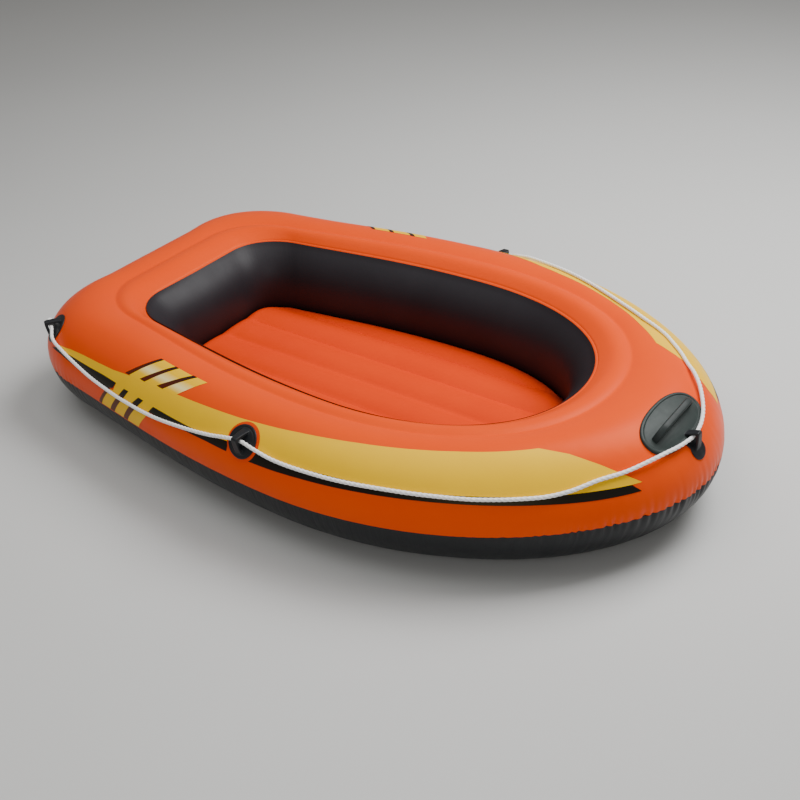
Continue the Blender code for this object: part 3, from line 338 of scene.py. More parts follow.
def only(obj):
    """Select one object and nothing else."""
    if bpy.context.mode != "OBJECT":
        bpy.ops.object.mode_set(mode="OBJECT")
    bpy.ops.object.select_all(action="DESELECT")
    obj.select_set(True)
    bpy.context.view_layer.objects.active = obj
    return obj


def edit(obj, *steps):
    """Run edit-mode steps on all of a mesh."""
    only(obj)
    bpy.ops.object.mode_set(mode="EDIT")
    bpy.ops.mesh.select_all(action="SELECT")
    for step in steps:
        step()
    bpy.ops.object.mode_set(mode="OBJECT")
    return obj


def settle(obj):
    """Apply every modifier and the object's own place, and leave its origin at the boat's."""
    only(obj)
    for modifier in list(obj.modifiers):
        bpy.ops.object.modifier_apply(modifier=modifier.name)
    bpy.ops.object.transform_apply(location=True, rotation=True, scale=True)
    obj.data.update()
    return obj


def new_mesh(name, maker, **settings):
    """A mesh from one of Blender's makers, under its own name."""
    bpy.ops.object.select_all(action="DESELECT")
    maker(**settings)
    obj = bpy.context.active_object
    obj.name = obj.data.name = name
    return obj


def new_grid(name, columns, rows):
    return new_mesh(name, bpy.ops.mesh.primitive_grid_add, x_subdivisions=columns, y_subdivisions=rows, size=1.0)


def weld(obj, distance=1e-6):
    return edit(obj, lambda: bpy.ops.mesh.remove_doubles(threshold=distance))


def face_outwards(obj):
    return edit(obj, lambda: bpy.ops.mesh.normals_make_consistent(inside=False))


def smooth(obj, angle=None):
    """Smooth shading, up to the angle of a sharp edge where one is given."""
    only(obj)
    if angle is None:
        bpy.ops.object.shade_smooth()
    else:
        bpy.ops.object.shade_smooth_by_angle(angle=math.radians(angle))
    return obj


def add_modifier(obj, kind, **settings):
    made = obj.modifiers.new(kind.lower(), kind)
    for key, value in settings.items():
        setattr(made, key, value)


def triangles(obj):
    obj.data.calc_loop_triangles()
    return len(obj.data.loop_triangles)


# %% Helpers for sheets
HOLE_DEPTH, HOLE_FINE, HOLE_EDGE = 0.02, 2.2, 1.6


def surface_of(obj):
    """A sheet as a surface that other pieces can be set down on."""
    mesh = obj.data
    return BVHTree.FromPolygons([v.co.copy() for v in mesh.vertices], [tuple(p.vertices) for p in mesh.polygons])


def pierced(obj, placed, radius):
    """Cut a round hole in a sheet: its faces are refined there, and the edge is drawn to a circle."""
    surface = surface_of(obj)
    to_local = placed.inverted()

    def far(point):
        local = to_local @ point
        return math.hypot(local.x, local.y) if abs(local.z) < HOLE_DEPTH else 1.0

    bm = bmesh.new()
    bm.from_mesh(obj.data)
    near_edges = [e for e in bm.edges if far((e.verts[0].co + e.verts[1].co) / 2) < HOLE_FINE * radius]
    bmesh.ops.subdivide_edges(bm, edges=near_edges, cuts=3, use_grid_fill=True)
    inside = [f for f in bm.faces if far(f.calc_center_median()) < radius]
    bmesh.ops.delete(bm, geom=inside, context="FACES")
    for vert in bm.verts:
        if vert.is_boundary and far(vert.co) < HOLE_EDGE * radius:
            local = to_local @ vert.co
            turn = math.atan2(local.y, local.x)
            top = placed @ Vector((radius * math.cos(turn), radius * math.sin(turn), HOLE_DEPTH))
            hit = surface.ray_cast(top, -placed.col[2].xyz, 2.5 * HOLE_DEPTH)[0]
            vert.co = hit if hit is not None else vert.co
    bm.to_mesh(obj.data)
    bm.free()
    return obj


def map_corners(mesh, layer, values):
    """Give each face corner of a UV map the value of its vertex."""
    corner = np.zeros(len(mesh.loops), int)
    mesh.loops.foreach_get("vertex_index", corner)
    layer.data.foreach_set("uv", values[corner].reshape(-1))


def flat_points(mesh):
    """The places of a mesh's vertices as rows of an array."""
    flat = np.zeros(len(mesh.vertices) * 3)
    mesh.vertices.foreach_get("co", flat)
    return flat.reshape(-1, 3)


def lay_sheet(name, points, uv, outward, thick=SKIN, angle=40.0, hole=None):
    """A flat grid wrapped through rows of points. outward is a point that its outer faces look towards."""
    rows, columns = points.shape[:2]
    obj = new_grid(name, columns - 1, rows - 1)
    mesh = obj.data
    mesh.vertices.foreach_set("co", points.reshape(-1))
    map_corners(mesh, mesh.uv_layers[0], uv.reshape(-1, 2))
    mesh.update()
    weld(obj)
    middle = mesh.polygons[(rows // 2) * (columns - 1) + columns // 3]
    if middle.normal.dot(outward(Vector(middle.center)) - Vector(middle.center)) < 0:
        edit(obj, lambda: bpy.ops.mesh.flip_normals())
    if hole:
        pierced(obj, hole, CUP_HOLE)
    if thick:
        add_modifier(obj, "SOLIDIFY", thickness=thick, offset=-1.0)
    smooth(settle(obj), angle)
    print(name, triangles(obj), "triangles")
    return obj


def arc_lengths(points):
    """Distances across a sheet, from its first row."""
    steps = np.linalg.norm(np.diff(points, axis=0), axis=-1)
    return np.cumsum(np.concatenate((np.zeros_like(steps[:1]), steps)), axis=0)


def sheet_map(runs, points):
    """Distance round the hull and across the sheet, for every point of it."""
    return np.stack(np.broadcast_arrays(runs[None, :], arc_lengths(points)), axis=-1)


# %% Where the columns of a hull sheet lie
QUARTER_RUN = 0.40
QUARTER_REACH, BOW_FADE, QUARTER_FADE = 0.11, 0.10, 0.05


def eased_share(share):
    """A share between 0 and 1 that starts and ends softly."""
    share = np.clip(share, 0.0, 1.0)
    return share * share * (3 - 2 * share)


def to_bow(run):
    return np.abs(run - GIRTH / 2)


def to_quarter(run):
    return np.minimum(np.abs(run - QUARTER_RUN), np.abs(run - (GIRTH - QUARTER_RUN)))


def columns(coarse, fine, reach):
    """Distances round the hull, close together where the seam puckers: at the bow and the stern quarters."""
    table = np.linspace(0.0, GIRTH, 4001)
    away = np.minimum((to_bow(table) - reach) / BOW_FADE, (to_quarter(table) - QUARTER_REACH) / QUARTER_FADE)
    pitch = fine + (coarse - fine) * eased_share(away)
    count = np.concatenate(([0.0], np.cumsum(0.5 * (1 / pitch[1:] + 1 / pitch[:-1]) * np.diff(table))))
    total = int(round(count[-1]))
    return np.interp(np.linspace(0.0, count[-1], total + 1), count, table)


hull_runs = columns(0.011, 0.0030, 0.42)
print("columns round the hull:", len(hull_runs))

# %% [markdown]
# ## Puckers along the seam
#
# Flat sheet can't be bent round the bow without folds. The seam gathers it, and the spare length stands in
# small puckers, about 15 mm apart, which die out over a few centimetres above and below the seam.
# They are moved in the mesh, because they catch the light and cut the outline.

# %% Puckers
BOW_GATHER, BOW_GATHER_FADE, QUARTER_GATHER, QUARTER_SPREAD, LEAST_GATHER = 0.10, 0.42, 0.45, 0.085, 0.06
PUCKER_PITCH, LONG_PITCH, PUCKER_DEPTH, LONG_REACH, BELOW_LAG = 0.0152, 0.0235, 0.0042, 0.055, 0.3
PUCKER_REACH = {"above": 0.013, "below": 0.020}
LONG_DEPTH = {"above": 0.0006, "below": 0.0017}


def gather(run):
    """How much the seam gathers the sheet: most round the bow, a little at the quarters."""
    bow = 1.0 - np.clip((to_bow(run) - BOW_GATHER) / BOW_GATHER_FADE, 0.0, 1.0)
    quarter = np.exp(-(to_quarter(run) / QUARTER_SPREAD) ** 2)
    return np.maximum(eased_share(bow), QUARTER_GATHER * quarter) + LEAST_GATHER


def folds(run, pitch, lag):
    """Uneven folds, 0 on a ridge and 1 in the bottom of a fold."""
    turn = run * 2 * math.pi
    wander = 1.9 * np.sin(turn / 0.213 + lag) + 0.9 * np.sin(turn / 0.071 + 2.0 * lag)
    depth = 0.66 + 0.34 * np.sin(turn / 0.059 + 1.3 + lag)
    return (0.5 - 0.5 * np.cos(turn / pitch + wander)) ** 1.4 * depth


def pucker(run, away, side):
    """Depth of the puckers at a distance from the seam along the sheet above or below it."""
    lag = BELOW_LAG if side == "below" else 0.0
    short = PUCKER_DEPTH * np.exp(-(away / PUCKER_REACH[side]) ** 1.2) * folds(run, PUCKER_PITCH, lag)
    long = LONG_DEPTH[side] * np.exp(-away / LONG_REACH) * folds(run, LONG_PITCH, 1.7 + lag)
    return gather(run) * (short + long)

# %% [markdown]
# ## Orange top sheet
#
# One sheet makes the round side, the crown, the crease and the deck down to the rim of the cockpit.
# The sharp crease of the solid is eased, because a weld under air pressure leaves a soft valley.
# One fine groove beside the rim is the mark of the welding bar.

# %% Top sheet
BAR_MARK_DEPTH, BAR_MARK_PLACE, BAR_MARK_WIDTH = 0.0011, 0.0045, 0.0011
FALL_OUT, FALL_DOWN = 0.5, 0.866


def seam_degrees(height):
    return math.degrees(math.asin((height - WIDEST_HEIGHT) / WIDEST_HEIGHT))


def eased(points, row, passes):
    """Round a sharp row of a sheet by averaging the rows beside it."""
    for _ in range(passes):
        for k in range(row - 1, row + 2):
            points[k] = 0.25 * points[k - 1] + 0.5 * points[k] + 0.25 * points[k + 1]
    return points


def top_rows(runs):
    place = place_at(runs)
    angles = np.concatenate((np.linspace(seam_degrees(SEAM_HEIGHT), 12.0, 9), np.linspace(15.0, 62.0, 16),
                             np.linspace(65.0, 85.0, 8), (87.0, 88.3, 89.2, 90.0)))
    side = side_point(place[None, :], angles[:, None])
    depth = pucker(runs[None, :], arc_lengths(side), "above")
    side = side - side_normal(place[None, :], angles[:, None]) * depth[..., None]
    flange = side[0] + level_point(inwards(place, crease_line), 0.0) * SEAM_FLANGE
    shares = np.concatenate(((0.025, 0.05, 0.08), np.linspace(0.13, 0.80, 10), np.linspace(0.84, 1.0, 12)))
    deck = deck_point(place[None, :], shares[:, None])
    # Mark of the welding bar beside the rim
    rim_width = np.linalg.norm(rim_line(place) - crease_line(place), axis=-1)
    to_rim = (1.0 - shares[:, None]) * rim_width[None, :]
    deck[..., 2] -= BAR_MARK_DEPTH * np.exp(-((to_rim - BAR_MARK_PLACE) / BAR_MARK_WIDTH) ** 2)
    under = from_rim(place, -FALL_OUT * RIM_FLANGE, RIM_HEIGHT - FALL_DOWN * RIM_FLANGE)
    return eased(np.concatenate((flange[None], side, deck, under[None])), len(angles), 2)


top_points = top_rows(hull_runs)
hull_top = lay_sheet("hull_top_sheet", top_points, sheet_map(hull_runs, top_points), lambda centre: centre + UP,
                     hole=valve_places["outer_valve"])
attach(hull_top, "boat")
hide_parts("hull_top_skin")

# %% [markdown]
# ## Dark bottom sheet and cockpit wall
#
# The bottom is a plain dark sheet. It gathers in the same seam, so its puckers meet those of the top.
# The wall of the cockpit swells inwards between the rim and the floor.

# %% Bottom sheet
LAP_END = WELD_INSET + LAP_START + FLOOR_FLANGE - 0.002


def bottom_rows(runs):
    place = place_at(runs)
    angles = np.concatenate((np.linspace(-90.0, -30.0, 14), np.linspace(-27.0, seam_degrees(SEAM_HEIGHT - GAP), 10)))
    side = side_point(place[None, :], angles[:, None])
    depth = pucker(runs[None, :], arc_lengths(side[::-1])[::-1], "below")
    side = side - side_normal(place[None, :], angles[:, None]) * depth[..., None]
    inward = inwards(place, crease_line)
    flange = side[-1] + level_point(inward, 0.0) * SEAM_FLANGE
    keel = keel_point(place[None, :], np.linspace(1.0, 0.0, 8)[:, None])
    width = np.linalg.norm(crease_line(place) - outer_line(place), axis=-1)
    strip = level_point(outer_line(place) + inward * (width - KEEL_EASE)[:, None], 0.0)
    lap = from_rim(place, LAP_END, WELD_HEIGHT)
    return np.concatenate((lap[None], keel, strip[None], side, flange[None]))


bottom_points = bottom_rows(hull_runs)
hull_bottom = lay_sheet("hull_bottom_sheet", bottom_points, sheet_map(hull_runs, bottom_points),
                        lambda centre: centre - UP)
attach(hull_bottom, "boat")
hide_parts("hull_bottom_skin")

# %% Cockpit wall
# Bead at the rim: its least height is the weld, and the extra height on the near side is painted shade.
BEAD_IN, BEAD_LEAST, SHADE_BEAD_MORE = 0.0008, 0.0005, 0.0030


def wall_rows(runs):
    place = place_at(runs)
    nudge_in, nudge_down = FALL_DOWN * GAP, FALL_OUT * GAP
    tuck = from_rim(place, nudge_in - FALL_OUT * RIM_FLANGE, RIM_HEIGHT - FALL_DOWN * RIM_FLANGE - nudge_down)
    # The dark sheet stands a little proud of the orange one, as a fine dark bead at the weld. It stands higher on the
    # near side, where the dark strip is painted shade for the seam's shadow.
    x, y = rim_line(place).T
    near_side_shade = np.clip((0.26 - x) / 0.40, 0.0, 1.0) * np.clip(-y / 0.15, 0.0, 1.0)
    seam_and_shade_bead = from_rim(place, nudge_in + BEAD_IN, RIM_HEIGHT + (BEAD_LEAST + SHADE_BEAD_MORE * near_side_shade))
    wall = wall_point(place[None, :], np.linspace(0.04, 1.0, 26)[:, None])
    foot = from_rim(place, LAP_END, WALL_FOOT)
    return np.concatenate((tuck[None], seam_and_shade_bead[None], wall, foot[None]))


wall_runs = columns(0.010, 0.007, 0.42)
wall_points = wall_rows(wall_runs)
cockpit_wall = lay_sheet("cockpit_wall_sheet", wall_points, sheet_map(wall_runs, wall_points),
                         lambda centre: Vector((0.0, 0.0, centre.z)), hole=valve_places["inner_valve"])
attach(cockpit_wall, "boat")
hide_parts("cockpit_wall_skin")

# %% [markdown]
# ## Floor
#
# The floor is a mattress of six beams. Webs inside it pull down the valleys between them.
# Each web ends short of the edge, so the valleys run out and the edge is one round roll.
# A grid is cut to the floor's own outline, and its heights come from how far in each point lies.

# %% Form of the floor
VALLEY_SHARPNESS, RUN_OUT_START, RUN_OUT, EDGE_VALLEY, FLOOR_RISE, ROLL_EASE = 2.2, 0.010, 0.050, 0.25, 0.0015, 0.010


def distance_inside(points, loop):
    """How far inside a closed line each point lies, and the nearest point of the line."""
    best = np.full(len(points), 1e9)
    nearest = np.zeros_like(points)
    inside_count = np.zeros(len(points), int)
    for a, b in zip(loop, np.roll(loop, -1, axis=0)):
        run = b - a
        share = np.clip(((points - a) @ run) / (run @ run), 0.0, 1.0)
        foot = a + share[:, None] * run
        far = np.linalg.norm(points - foot, axis=1)
        closer = far < best
        best[closer], nearest[closer] = far[closer], foot[closer]
        if a[1] != b[1]:
            crosses = (a[1] > points[:, 1]) != (b[1] > points[:, 1])
            at_x = a[0] + (b[0] - a[0]) * (points[:, 1] - a[1]) / (b[1] - a[1])
            inside_count += crosses & (at_x < points[:, 0])
    return np.where(inside_count % 2 == 1, best, -best), nearest


def floor_height(points, inset):
    beam = (points[:, 1] / BEAM_PITCH) % 1.0
    share = 1.0 - np.abs(2.0 * beam - 1.0) ** VALLEY_SHARPNESS
    depth = BEAM_CROWN * (EDGE_VALLEY + (1 - EDGE_VALLEY) * eased_share((inset - RUN_OUT_START) / RUN_OUT))
    crest = FLOOR_TOP + FLOOR_RISE - depth * (1.0 - share)
    roll_in = np.clip((inset - FLOOR_FLANGE) / (EDGE_ROUND + ROLL_EASE), 0.0, 1.0)
    return FLANGE_TOP + (crest - FLANGE_TOP) * np.sqrt(np.maximum(1.0 - (1.0 - roll_in) ** 2, 0.0))


# %% Floor
CELL = 0.0042
floor_loop = from_rim(np.linspace(0.0, ROUND, 261)[:-1], WELD_INSET + LAP_START, 0.0)[:, :2]
low, high = floor_loop.min(0), floor_loop.max(0)
floor_top = new_grid("floor_sheet", *(int(math.ceil(c)) for c in (high - low) / CELL))
mesh = floor_top.data
plan = (flat_points(mesh)[:, :2] + 0.5) * (high - low) + low
inset, nearest = distance_inside(plan, floor_loop)
outside_loop = inset < 0.0
plan[outside_loop] = nearest[outside_loop]
heights = floor_height(plan, np.maximum(inset, 0.0))
mesh.vertices.foreach_set("co", np.column_stack((plan, heights)).reshape(-1))
map_corners(mesh, mesh.uv_layers[0], plan)
bm = bmesh.new()
bm.from_mesh(mesh)
bm.verts.ensure_lookup_table()
bmesh.ops.delete(bm, geom=[f for f in bm.faces if all(outside_loop[v.index] for v in f.verts)], context="FACES")
bmesh.ops.delete(bm, geom=[f for f in bm.faces if f.calc_area() < 1e-9], context="FACES")
bm.to_mesh(mesh)
bm.free()
pierced(weld(floor_top, 1e-5), valve_places["floor_valve"], CUP_HOLE)
add_modifier(floor_top, "SOLIDIFY", thickness=SKIN, offset=-1.0)
smooth(settle(floor_top), 40.0)
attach(floor_top, "boat")
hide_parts("floor_top_skin")
print("floor", triangles(floor_top), "triangles, beams", BEAM_PITCH, "m apart")

# %% [markdown]
# ## Printed bands and bars
# A pale band across the bars over the band is painted highlight, not ink.
#
# The colours on the orange sheet are printed ink: a yellow band with a black stripe under it, and slanted bars
# over and under the band near the stern.
# Each print is drawn flat, in distance round the hull and degrees up its side, cut into small cells and laid
# a hair above the sheet, so its edges stay sharp.
# The band's middle is bare.

# %% Outlines of the prints
BAND_TOP = ((0.366, 24.5), (0.420, 29.5), (0.452, 32.0), (0.496, 33.5), (0.548, 34.5), (0.598, 36.2), (0.638, 39.0),
            (0.686, 42.2), (0.743, 45.2), (0.786, 46.4), (0.878, 49.6), (0.955, 52.4), (1.025, 55.8), (1.093, 59.2),
            (1.160, 61.8), (1.227, 64.0), (1.290, 65.4), (1.353, 66.6), (1.416, 67.4), (1.474, 67.9), (1.532, 68.3),
            (1.589, 68.8))
BAND_END = ((1.629, 62.0), (1.661, 49.0), (1.693, 34.0), (1.709, 27.0))
STRIPE_TOP = ((1.690, 27.2), (1.636, 28.6), (1.587, 29.4), (1.538, 30.4), (1.491, 30.8), (1.441, 31.2), (1.392, 31.4),
              (1.342, 31.6), (1.289, 31.7), (1.236, 31.8), (1.179, 31.8), (1.116, 31.4), (1.060, 30.8), (1.005, 30.4))
STRIPE_FOOT = ((1.005, 20.4), (1.057, 21.2), (1.120, 22.6), (1.179, 23.4), (1.236, 24.2), (1.289, 24.6), (1.340, 24.8),
               (1.390, 24.7), (1.438, 24.3), (1.486, 23.9), (1.534, 23.2), (1.581, 22.2), (1.629, 21.1), (1.680, 20.3),
               (1.702, 20.0))
WEDGE_TOP = ((0.955, 30.0), (0.900, 27.0), (0.840, 26.0), (0.748, 26.0))
WEDGE_FOOT = ((0.738, 19.0), (0.829, 20.5), (0.900, 21.2), (0.955, 20.8))
TAIL_TOP = ((0.624, 27.0), (0.578, 27.0), (0.532, 26.2), (0.490, 26.2), (0.460, 26.5), (0.428, 26.0), (0.405, 24.6))
TAIL_FOOT = ((0.384, 20.5), (0.430, 22.0), (0.480, 19.5), (0.540, 17.0), (0.600, 17.5), (0.619, 20.5))
# Bars as (foot, foot, head, head) distances: three yellow ones and the dark ones beside them, under the band
LOW_HEAD = 18.5
LOW_FEET, LOW_HEADS, CAP_HEADS = (-4.6,) * 3, (LOW_HEAD,) * 3, (26.3,) * 3
LOW_BARS = ((0.579, 0.609, 0.613, 0.643), (0.624, 0.654, 0.659, 0.687), (0.668, 0.704, 0.705, 0.741))
LOW_EDGES = ((0.569, 0.579, 0.603, 0.613), (0.609, 0.624, 0.643, 0.659), (0.654, 0.668, 0.687, 0.705))
LOW_CAPS = ((0.643, 0.659, 0.652, 0.667), (0.687, 0.705, 0.700, 0.716))
# The same over the band, each with the angles of its foot and its head
HIGH_FEET, HIGH_HEADS = (40.0, 42.0, 44.5), (67.0, 67.3, 68.0)
HIGH_EDGES = ((0.634, 0.647, 0.682, 0.691), (0.679, 0.695, 0.731, 0.742), (0.730, 0.748, 0.787, 0.799))
HIGH_BARS = ((0.645, 0.684, 0.690, 0.735), (0.693, 0.735, 0.741, 0.791), (0.746, 0.786, 0.797, 0.830))
PORT_TOP = ((0.955, 54.5), (1.025, 61.0), (1.093, 66.5), (1.148, 70.5), (1.220, 73.0), (1.288, 73.8), (1.372, 75.2),
            (1.454, 75.6), (1.550, 76.0), (1.640, 74.5))
PORT_END = ((1.664, 68.5), (1.684, 60.5), (1.708, 49.0), (1.721, 41.0), (1.724, 27.0))
print("points along the edges of the band:", len(BAND_TOP), len(STRIPE_TOP), len(STRIPE_FOOT))

# %% Laying a print
DEGREE = 0.001
PRINT_CELL, PRINT_CELL_DEGREES = 0.0055, 3.0


def cut_flat(bm, pitch, axis):
    """Cut a flat face into cells along one axis, so that it can bend."""
    places = [v.co[axis] for v in bm.verts]
    normal = Vector((0.0, 0.0, 0.0))
    normal[axis] = 1.0
    for k in range(math.ceil(min(places) / pitch), math.floor(max(places) / pitch) + 1):
        bmesh.ops.bisect_plane(bm, geom=bm.verts[:] + bm.edges[:] + bm.faces[:], dist=1e-7,
                               plane_co=normal * (k * pitch), plane_no=normal)


def lay_print(name, outlines, starboard, lift_off):
    """Outlines are lists of (distance round the hull from the stern, degrees up its side)."""
    bm = bmesh.new()
    for outline in outlines:
        bm.faces.new([bm.verts.new((run, angle * DEGREE, 0.0)) for run, angle in outline])
    cut_flat(bm, PRINT_CELL, 0)
    cut_flat(bm, PRINT_CELL_DEGREES * DEGREE, 1)
    bmesh.ops.triangulate(bm, faces=[f for f in bm.faces if len(f.verts) > 4])
    mesh = bpy.data.meshes.new(name)
    bm.to_mesh(mesh)
    bm.free()
    flat = flat_points(mesh)
    runs, angles = flat[:, 0], flat[:, 1] / DEGREE
    map_corners(mesh, mesh.uv_layers.new(name="print"), np.column_stack((runs, angles / 90.0)))
    hull_run = GIRTH - runs if starboard else runs
    place = place_at(hull_run)
    away = np.maximum(angles - seam_degrees(SEAM_HEIGHT), 0.0) * math.radians(1.0) * TUBE_HEIGHT / 2
    normals = side_normal(place, angles)
    points = side_point(place, angles) + normals * (lift_off - pucker(hull_run, away, "above"))[:, None]
    mesh.vertices.foreach_set("co", points.reshape(-1))
    mesh.update()
    obj = bpy.data.objects.new(name, mesh)
    bpy.context.scene.collection.objects.link(obj)
    first = mesh.polygons[0]
    if first.normal.dot(Vector(normals[first.vertices[0]])) < 0:
        mesh.flip_normals()
    smooth(obj)
    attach(obj, "boat")
    print(name, triangles(obj), "triangles")
    return obj


def bars(rows, feet, heads):
    """Bars that lean towards the bow, each from a row of distances and the angles of its foot and head."""
    return [[(a, foot), (b, foot), (d, head), (c, head)] for (a, b, c, d), foot, head in zip(rows, feet, heads)]


# %% Prints
yellow_prints, highlighted_bar_prints, edge_prints, black_prints = [], [], [], []
band_foot = [*STRIPE_TOP, *WEDGE_TOP, (0.741, LOW_HEAD), (0.622, LOW_HEAD), *TAIL_TOP]
black_stripes = [STRIPE_TOP + STRIPE_FOOT, WEDGE_TOP + WEDGE_FOOT, TAIL_TOP + TAIL_FOOT]
low_bars = bars(LOW_BARS, LOW_FEET, LOW_HEADS)
low_edges = bars(LOW_EDGES, LOW_FEET, LOW_HEADS) + bars(LOW_CAPS, LOW_HEADS, CAP_HEADS)
# The yellow bars take the ink with the painted highlight, pale across the bars over the band.
for side, upper, tilt in (("starboard", BAND_TOP + BAND_END, 0.0), ("port", BAND_TOP[:11] + PORT_TOP + PORT_END, 4.0)):
    starboard = side == "starboard"
    heads = [head + tilt for head in HIGH_HEADS]
    highlighted_bars, edges = low_bars + bars(HIGH_BARS, HIGH_FEET, heads), bars(HIGH_EDGES, HIGH_FEET, heads) + low_edges
    for made, name, outlines, lift_off in ((yellow_prints, "band_print_", [[*upper, *band_foot]], 0.00030),
                                           (highlighted_bar_prints, "bars_print_", highlighted_bars, 0.00036),
                                           (edge_prints, "bar_edges_print_", edges, 0.00044),
                                           (black_prints, "stripe_print_", black_stripes, 0.00050)):
        made.append(lay_print(name + side, outlines, starboard, lift_off))

# %% [markdown]
# ## Where the rope holders stand
#
# Two holders stand at the stern, two in the middle of the sides and one at the bow, a little off the middle.
# Each place is given as a distance along the boat and an angle up the round side.

# %% Places of the holders
ROPE, ROPE_CLEARANCE = 0.007, 0.0008
PATCH, PAD_RIM_HEIGHT = 0.0022, 0.0018
EYE_WIDTH, EYE_AXIS = 0.016, 0.010
MID_HOLDER_X, STERN_HOLDER_X = 0.014, 0.078 - LENGTH / 2
MID_ANGLE = {"starboard": 35.0, "port": 28.0}
STERN_ANGLE = {"starboard": 36.0, "port": 22.0}
FITTING_SIDE, BOW_EYE_ANGLE, PAD_ANGLE = -0.018, 40.5, 58.5

bow_place = place_at_y(FITTING_SIDE)
holder_places = [place_at_x(STERN_HOLDER_X, True), place_at_x(MID_HOLDER_X, True), bow_place,
                 place_at_x(MID_HOLDER_X, False), place_at_x(STERN_HOLDER_X, False)]
eyes = [side_placement(holder_places[0], STERN_ANGLE["starboard"]),
        side_placement(holder_places[1], MID_ANGLE["starboard"]),
        placement(side_point(bow_place, BOW_EYE_ANGLE), side_normal(bow_place, BOW_EYE_ANGLE), (0.0, 1.0, 0.0)),
        side_placement(holder_places[3], MID_ANGLE["port"]),
        side_placement(holder_places[4], STERN_ANGLE["port"])]
for name, eye in zip(("starboard stern", "starboard", "bow", "port", "port stern"), eyes):
    print(f"holder {name} at", [round(c, 3) for c in eye.translation])

# %% [markdown]
# ## Bare rings round the middle holders
#
# The printed colours stop short of the middle holders, so a narrow orange ring is left for the weld.
# Here each ring is a flat washer, bent down over the prints.

# %% Rings
RING_INNER, RING_OUTER, RING_SHIFT, RING_LIFT = 0.027, 0.0352, 0.0012, 0.0007


def ring_print(name, place):
    obj = new_grid(name, 96, 4)
    for vert in obj.data.vertices:
        turn = (vert.co.x + 0.5) * 2 * math.pi
        radius = RING_INNER + (RING_OUTER - RING_INNER) * (vert.co.y + 0.5)
        around = place @ Vector((radius * math.cos(turn) + RING_SHIFT, radius * math.sin(turn), 0.05))
        hit, normal = hull_surface.ray_cast(around, -place.col[2].xyz, 0.12)[:2]
        vert.co = hit + normal * RING_LIFT
    weld(obj)
    if obj.data.polygons[0].normal.dot(place.col[2].xyz) < 0:
        obj.data.flip_normals()
    smooth(obj)
    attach(obj, "boat")
    return obj


hull_surface = surface_of(hull_top)
holder_rings = [ring_print("ring_print_starboard", eyes[1]), ring_print("ring_print_port", eyes[3])]
print("rings:", [triangles(r) for r in holder_rings], "triangles")

# %% [markdown]
# ## Grab line
#
# The line is a 7 mm laid rope of three strands.
# It runs from a knot behind the starboard stern holder, round the bow and back to the port stern holder.
# It is pulled taut from holder to holder and lies on the hull in between.
# Its route was read off the picture, as shares of the way between two holders, an angle and a height.

# %% Route of the grab line
near, lie = EYE_AXIS - 0.0015, ROPE / 2 + ROPE_CLEARANCE
over = GAP + PATCH + PAD_RIM_HEIGHT + ROPE / 2 + 1.4 * ROPE_CLEARANCE
ROUTE = (
    ((0.058, 30, near), (0.124, 27, lie), (0.213, 22.5, lie), (0.304, 18.5, lie), (0.393, 16.8, lie),
     (0.480, 16.2, lie), (0.632, 18.0, lie), (0.768, 23, lie), (0.875, 28, lie), (0.943, 32.5, near)),
    ((0.042, 33, near), (0.089, 30.5, lie), (0.160, 30, lie), (0.253, 30, lie), (0.359, 30.5, lie), (0.441, 30, lie),
     (0.535, 29, lie), (0.645, 29.5, lie), (0.705, 32, lie), (0.769, 37, lie), (0.828, 38.5, lie),
     (0.884, 40.5, over), (0.922, 41, over), (0.958, 40.5, over)),
    ((0.040, 43, over), (0.068, 46, over), (0.097, 49.5, over), (0.138, 54, over), (0.170, 58, over),
     (0.208, 60.5, lie), (0.247, 62.5, lie), (0.281, 64, lie), (0.318, 65, lie), (0.357, 67.5, lie), (0.393, 70, lie),
     (0.434, 71, lie), (0.483, 71.5, lie), (0.528, 71.5, lie), (0.568, 71, lie), (0.622, 69.5, lie), (0.667, 68, lie),
     (0.715, 66, lie), (0.762, 64, lie), (0.815, 61.5, lie), (0.860, 58, lie), (0.900, 52, lie), (0.931, 45, lie),
     (0.959, 36, near)),
    ((0.057, 27, near), (0.133, 25, lie), (0.243, 22, lie), (0.386, 19, lie), (0.528, 18, lie), (0.670, 20, lie),
     (0.797, 21, lie), (0.876, 21, lie), (0.942, 22, near)),
)
print("stops of the route:", [len(stops) for stops in ROUTE])

# %% A smooth way through the stops
ROPE_POINT_PITCH, ROPE_ROW_PITCH = 0.0012, 0.0011


def evenly(line, runs, count):
    """Evenly spaced distances along a line, and the points there."""
    even = np.linspace(0.0, runs[-1], count)
    return even, np.column_stack([np.interp(even, runs, line[:, k]) for k in range(3)])


def through(stops, pitch):
    """Evenly spaced points of a smooth curve through the stops."""
    stops = [Vector(s) for s in stops]
    fine = []
    for k in range(len(stops) - 1):
        a, b = stops[k], stops[k + 1]
        before, after = stops[max(k - 1, 0)], stops[min(k + 2, len(stops) - 1)]
        third = (b - a).length / 3
        ends = (a, a + (b - before).normalized() * third, b - (after - a).normalized() * third, b)
        fine.append(cubic(ends, np.linspace(0.0, 1.0, 25)[:-1]))
    fine = np.concatenate(fine + [np.array([stops[-1]])])
    runs = runs_along(fine)
    return evenly(fine, runs, int(round(runs[-1] / pitch)) + 1)[1]


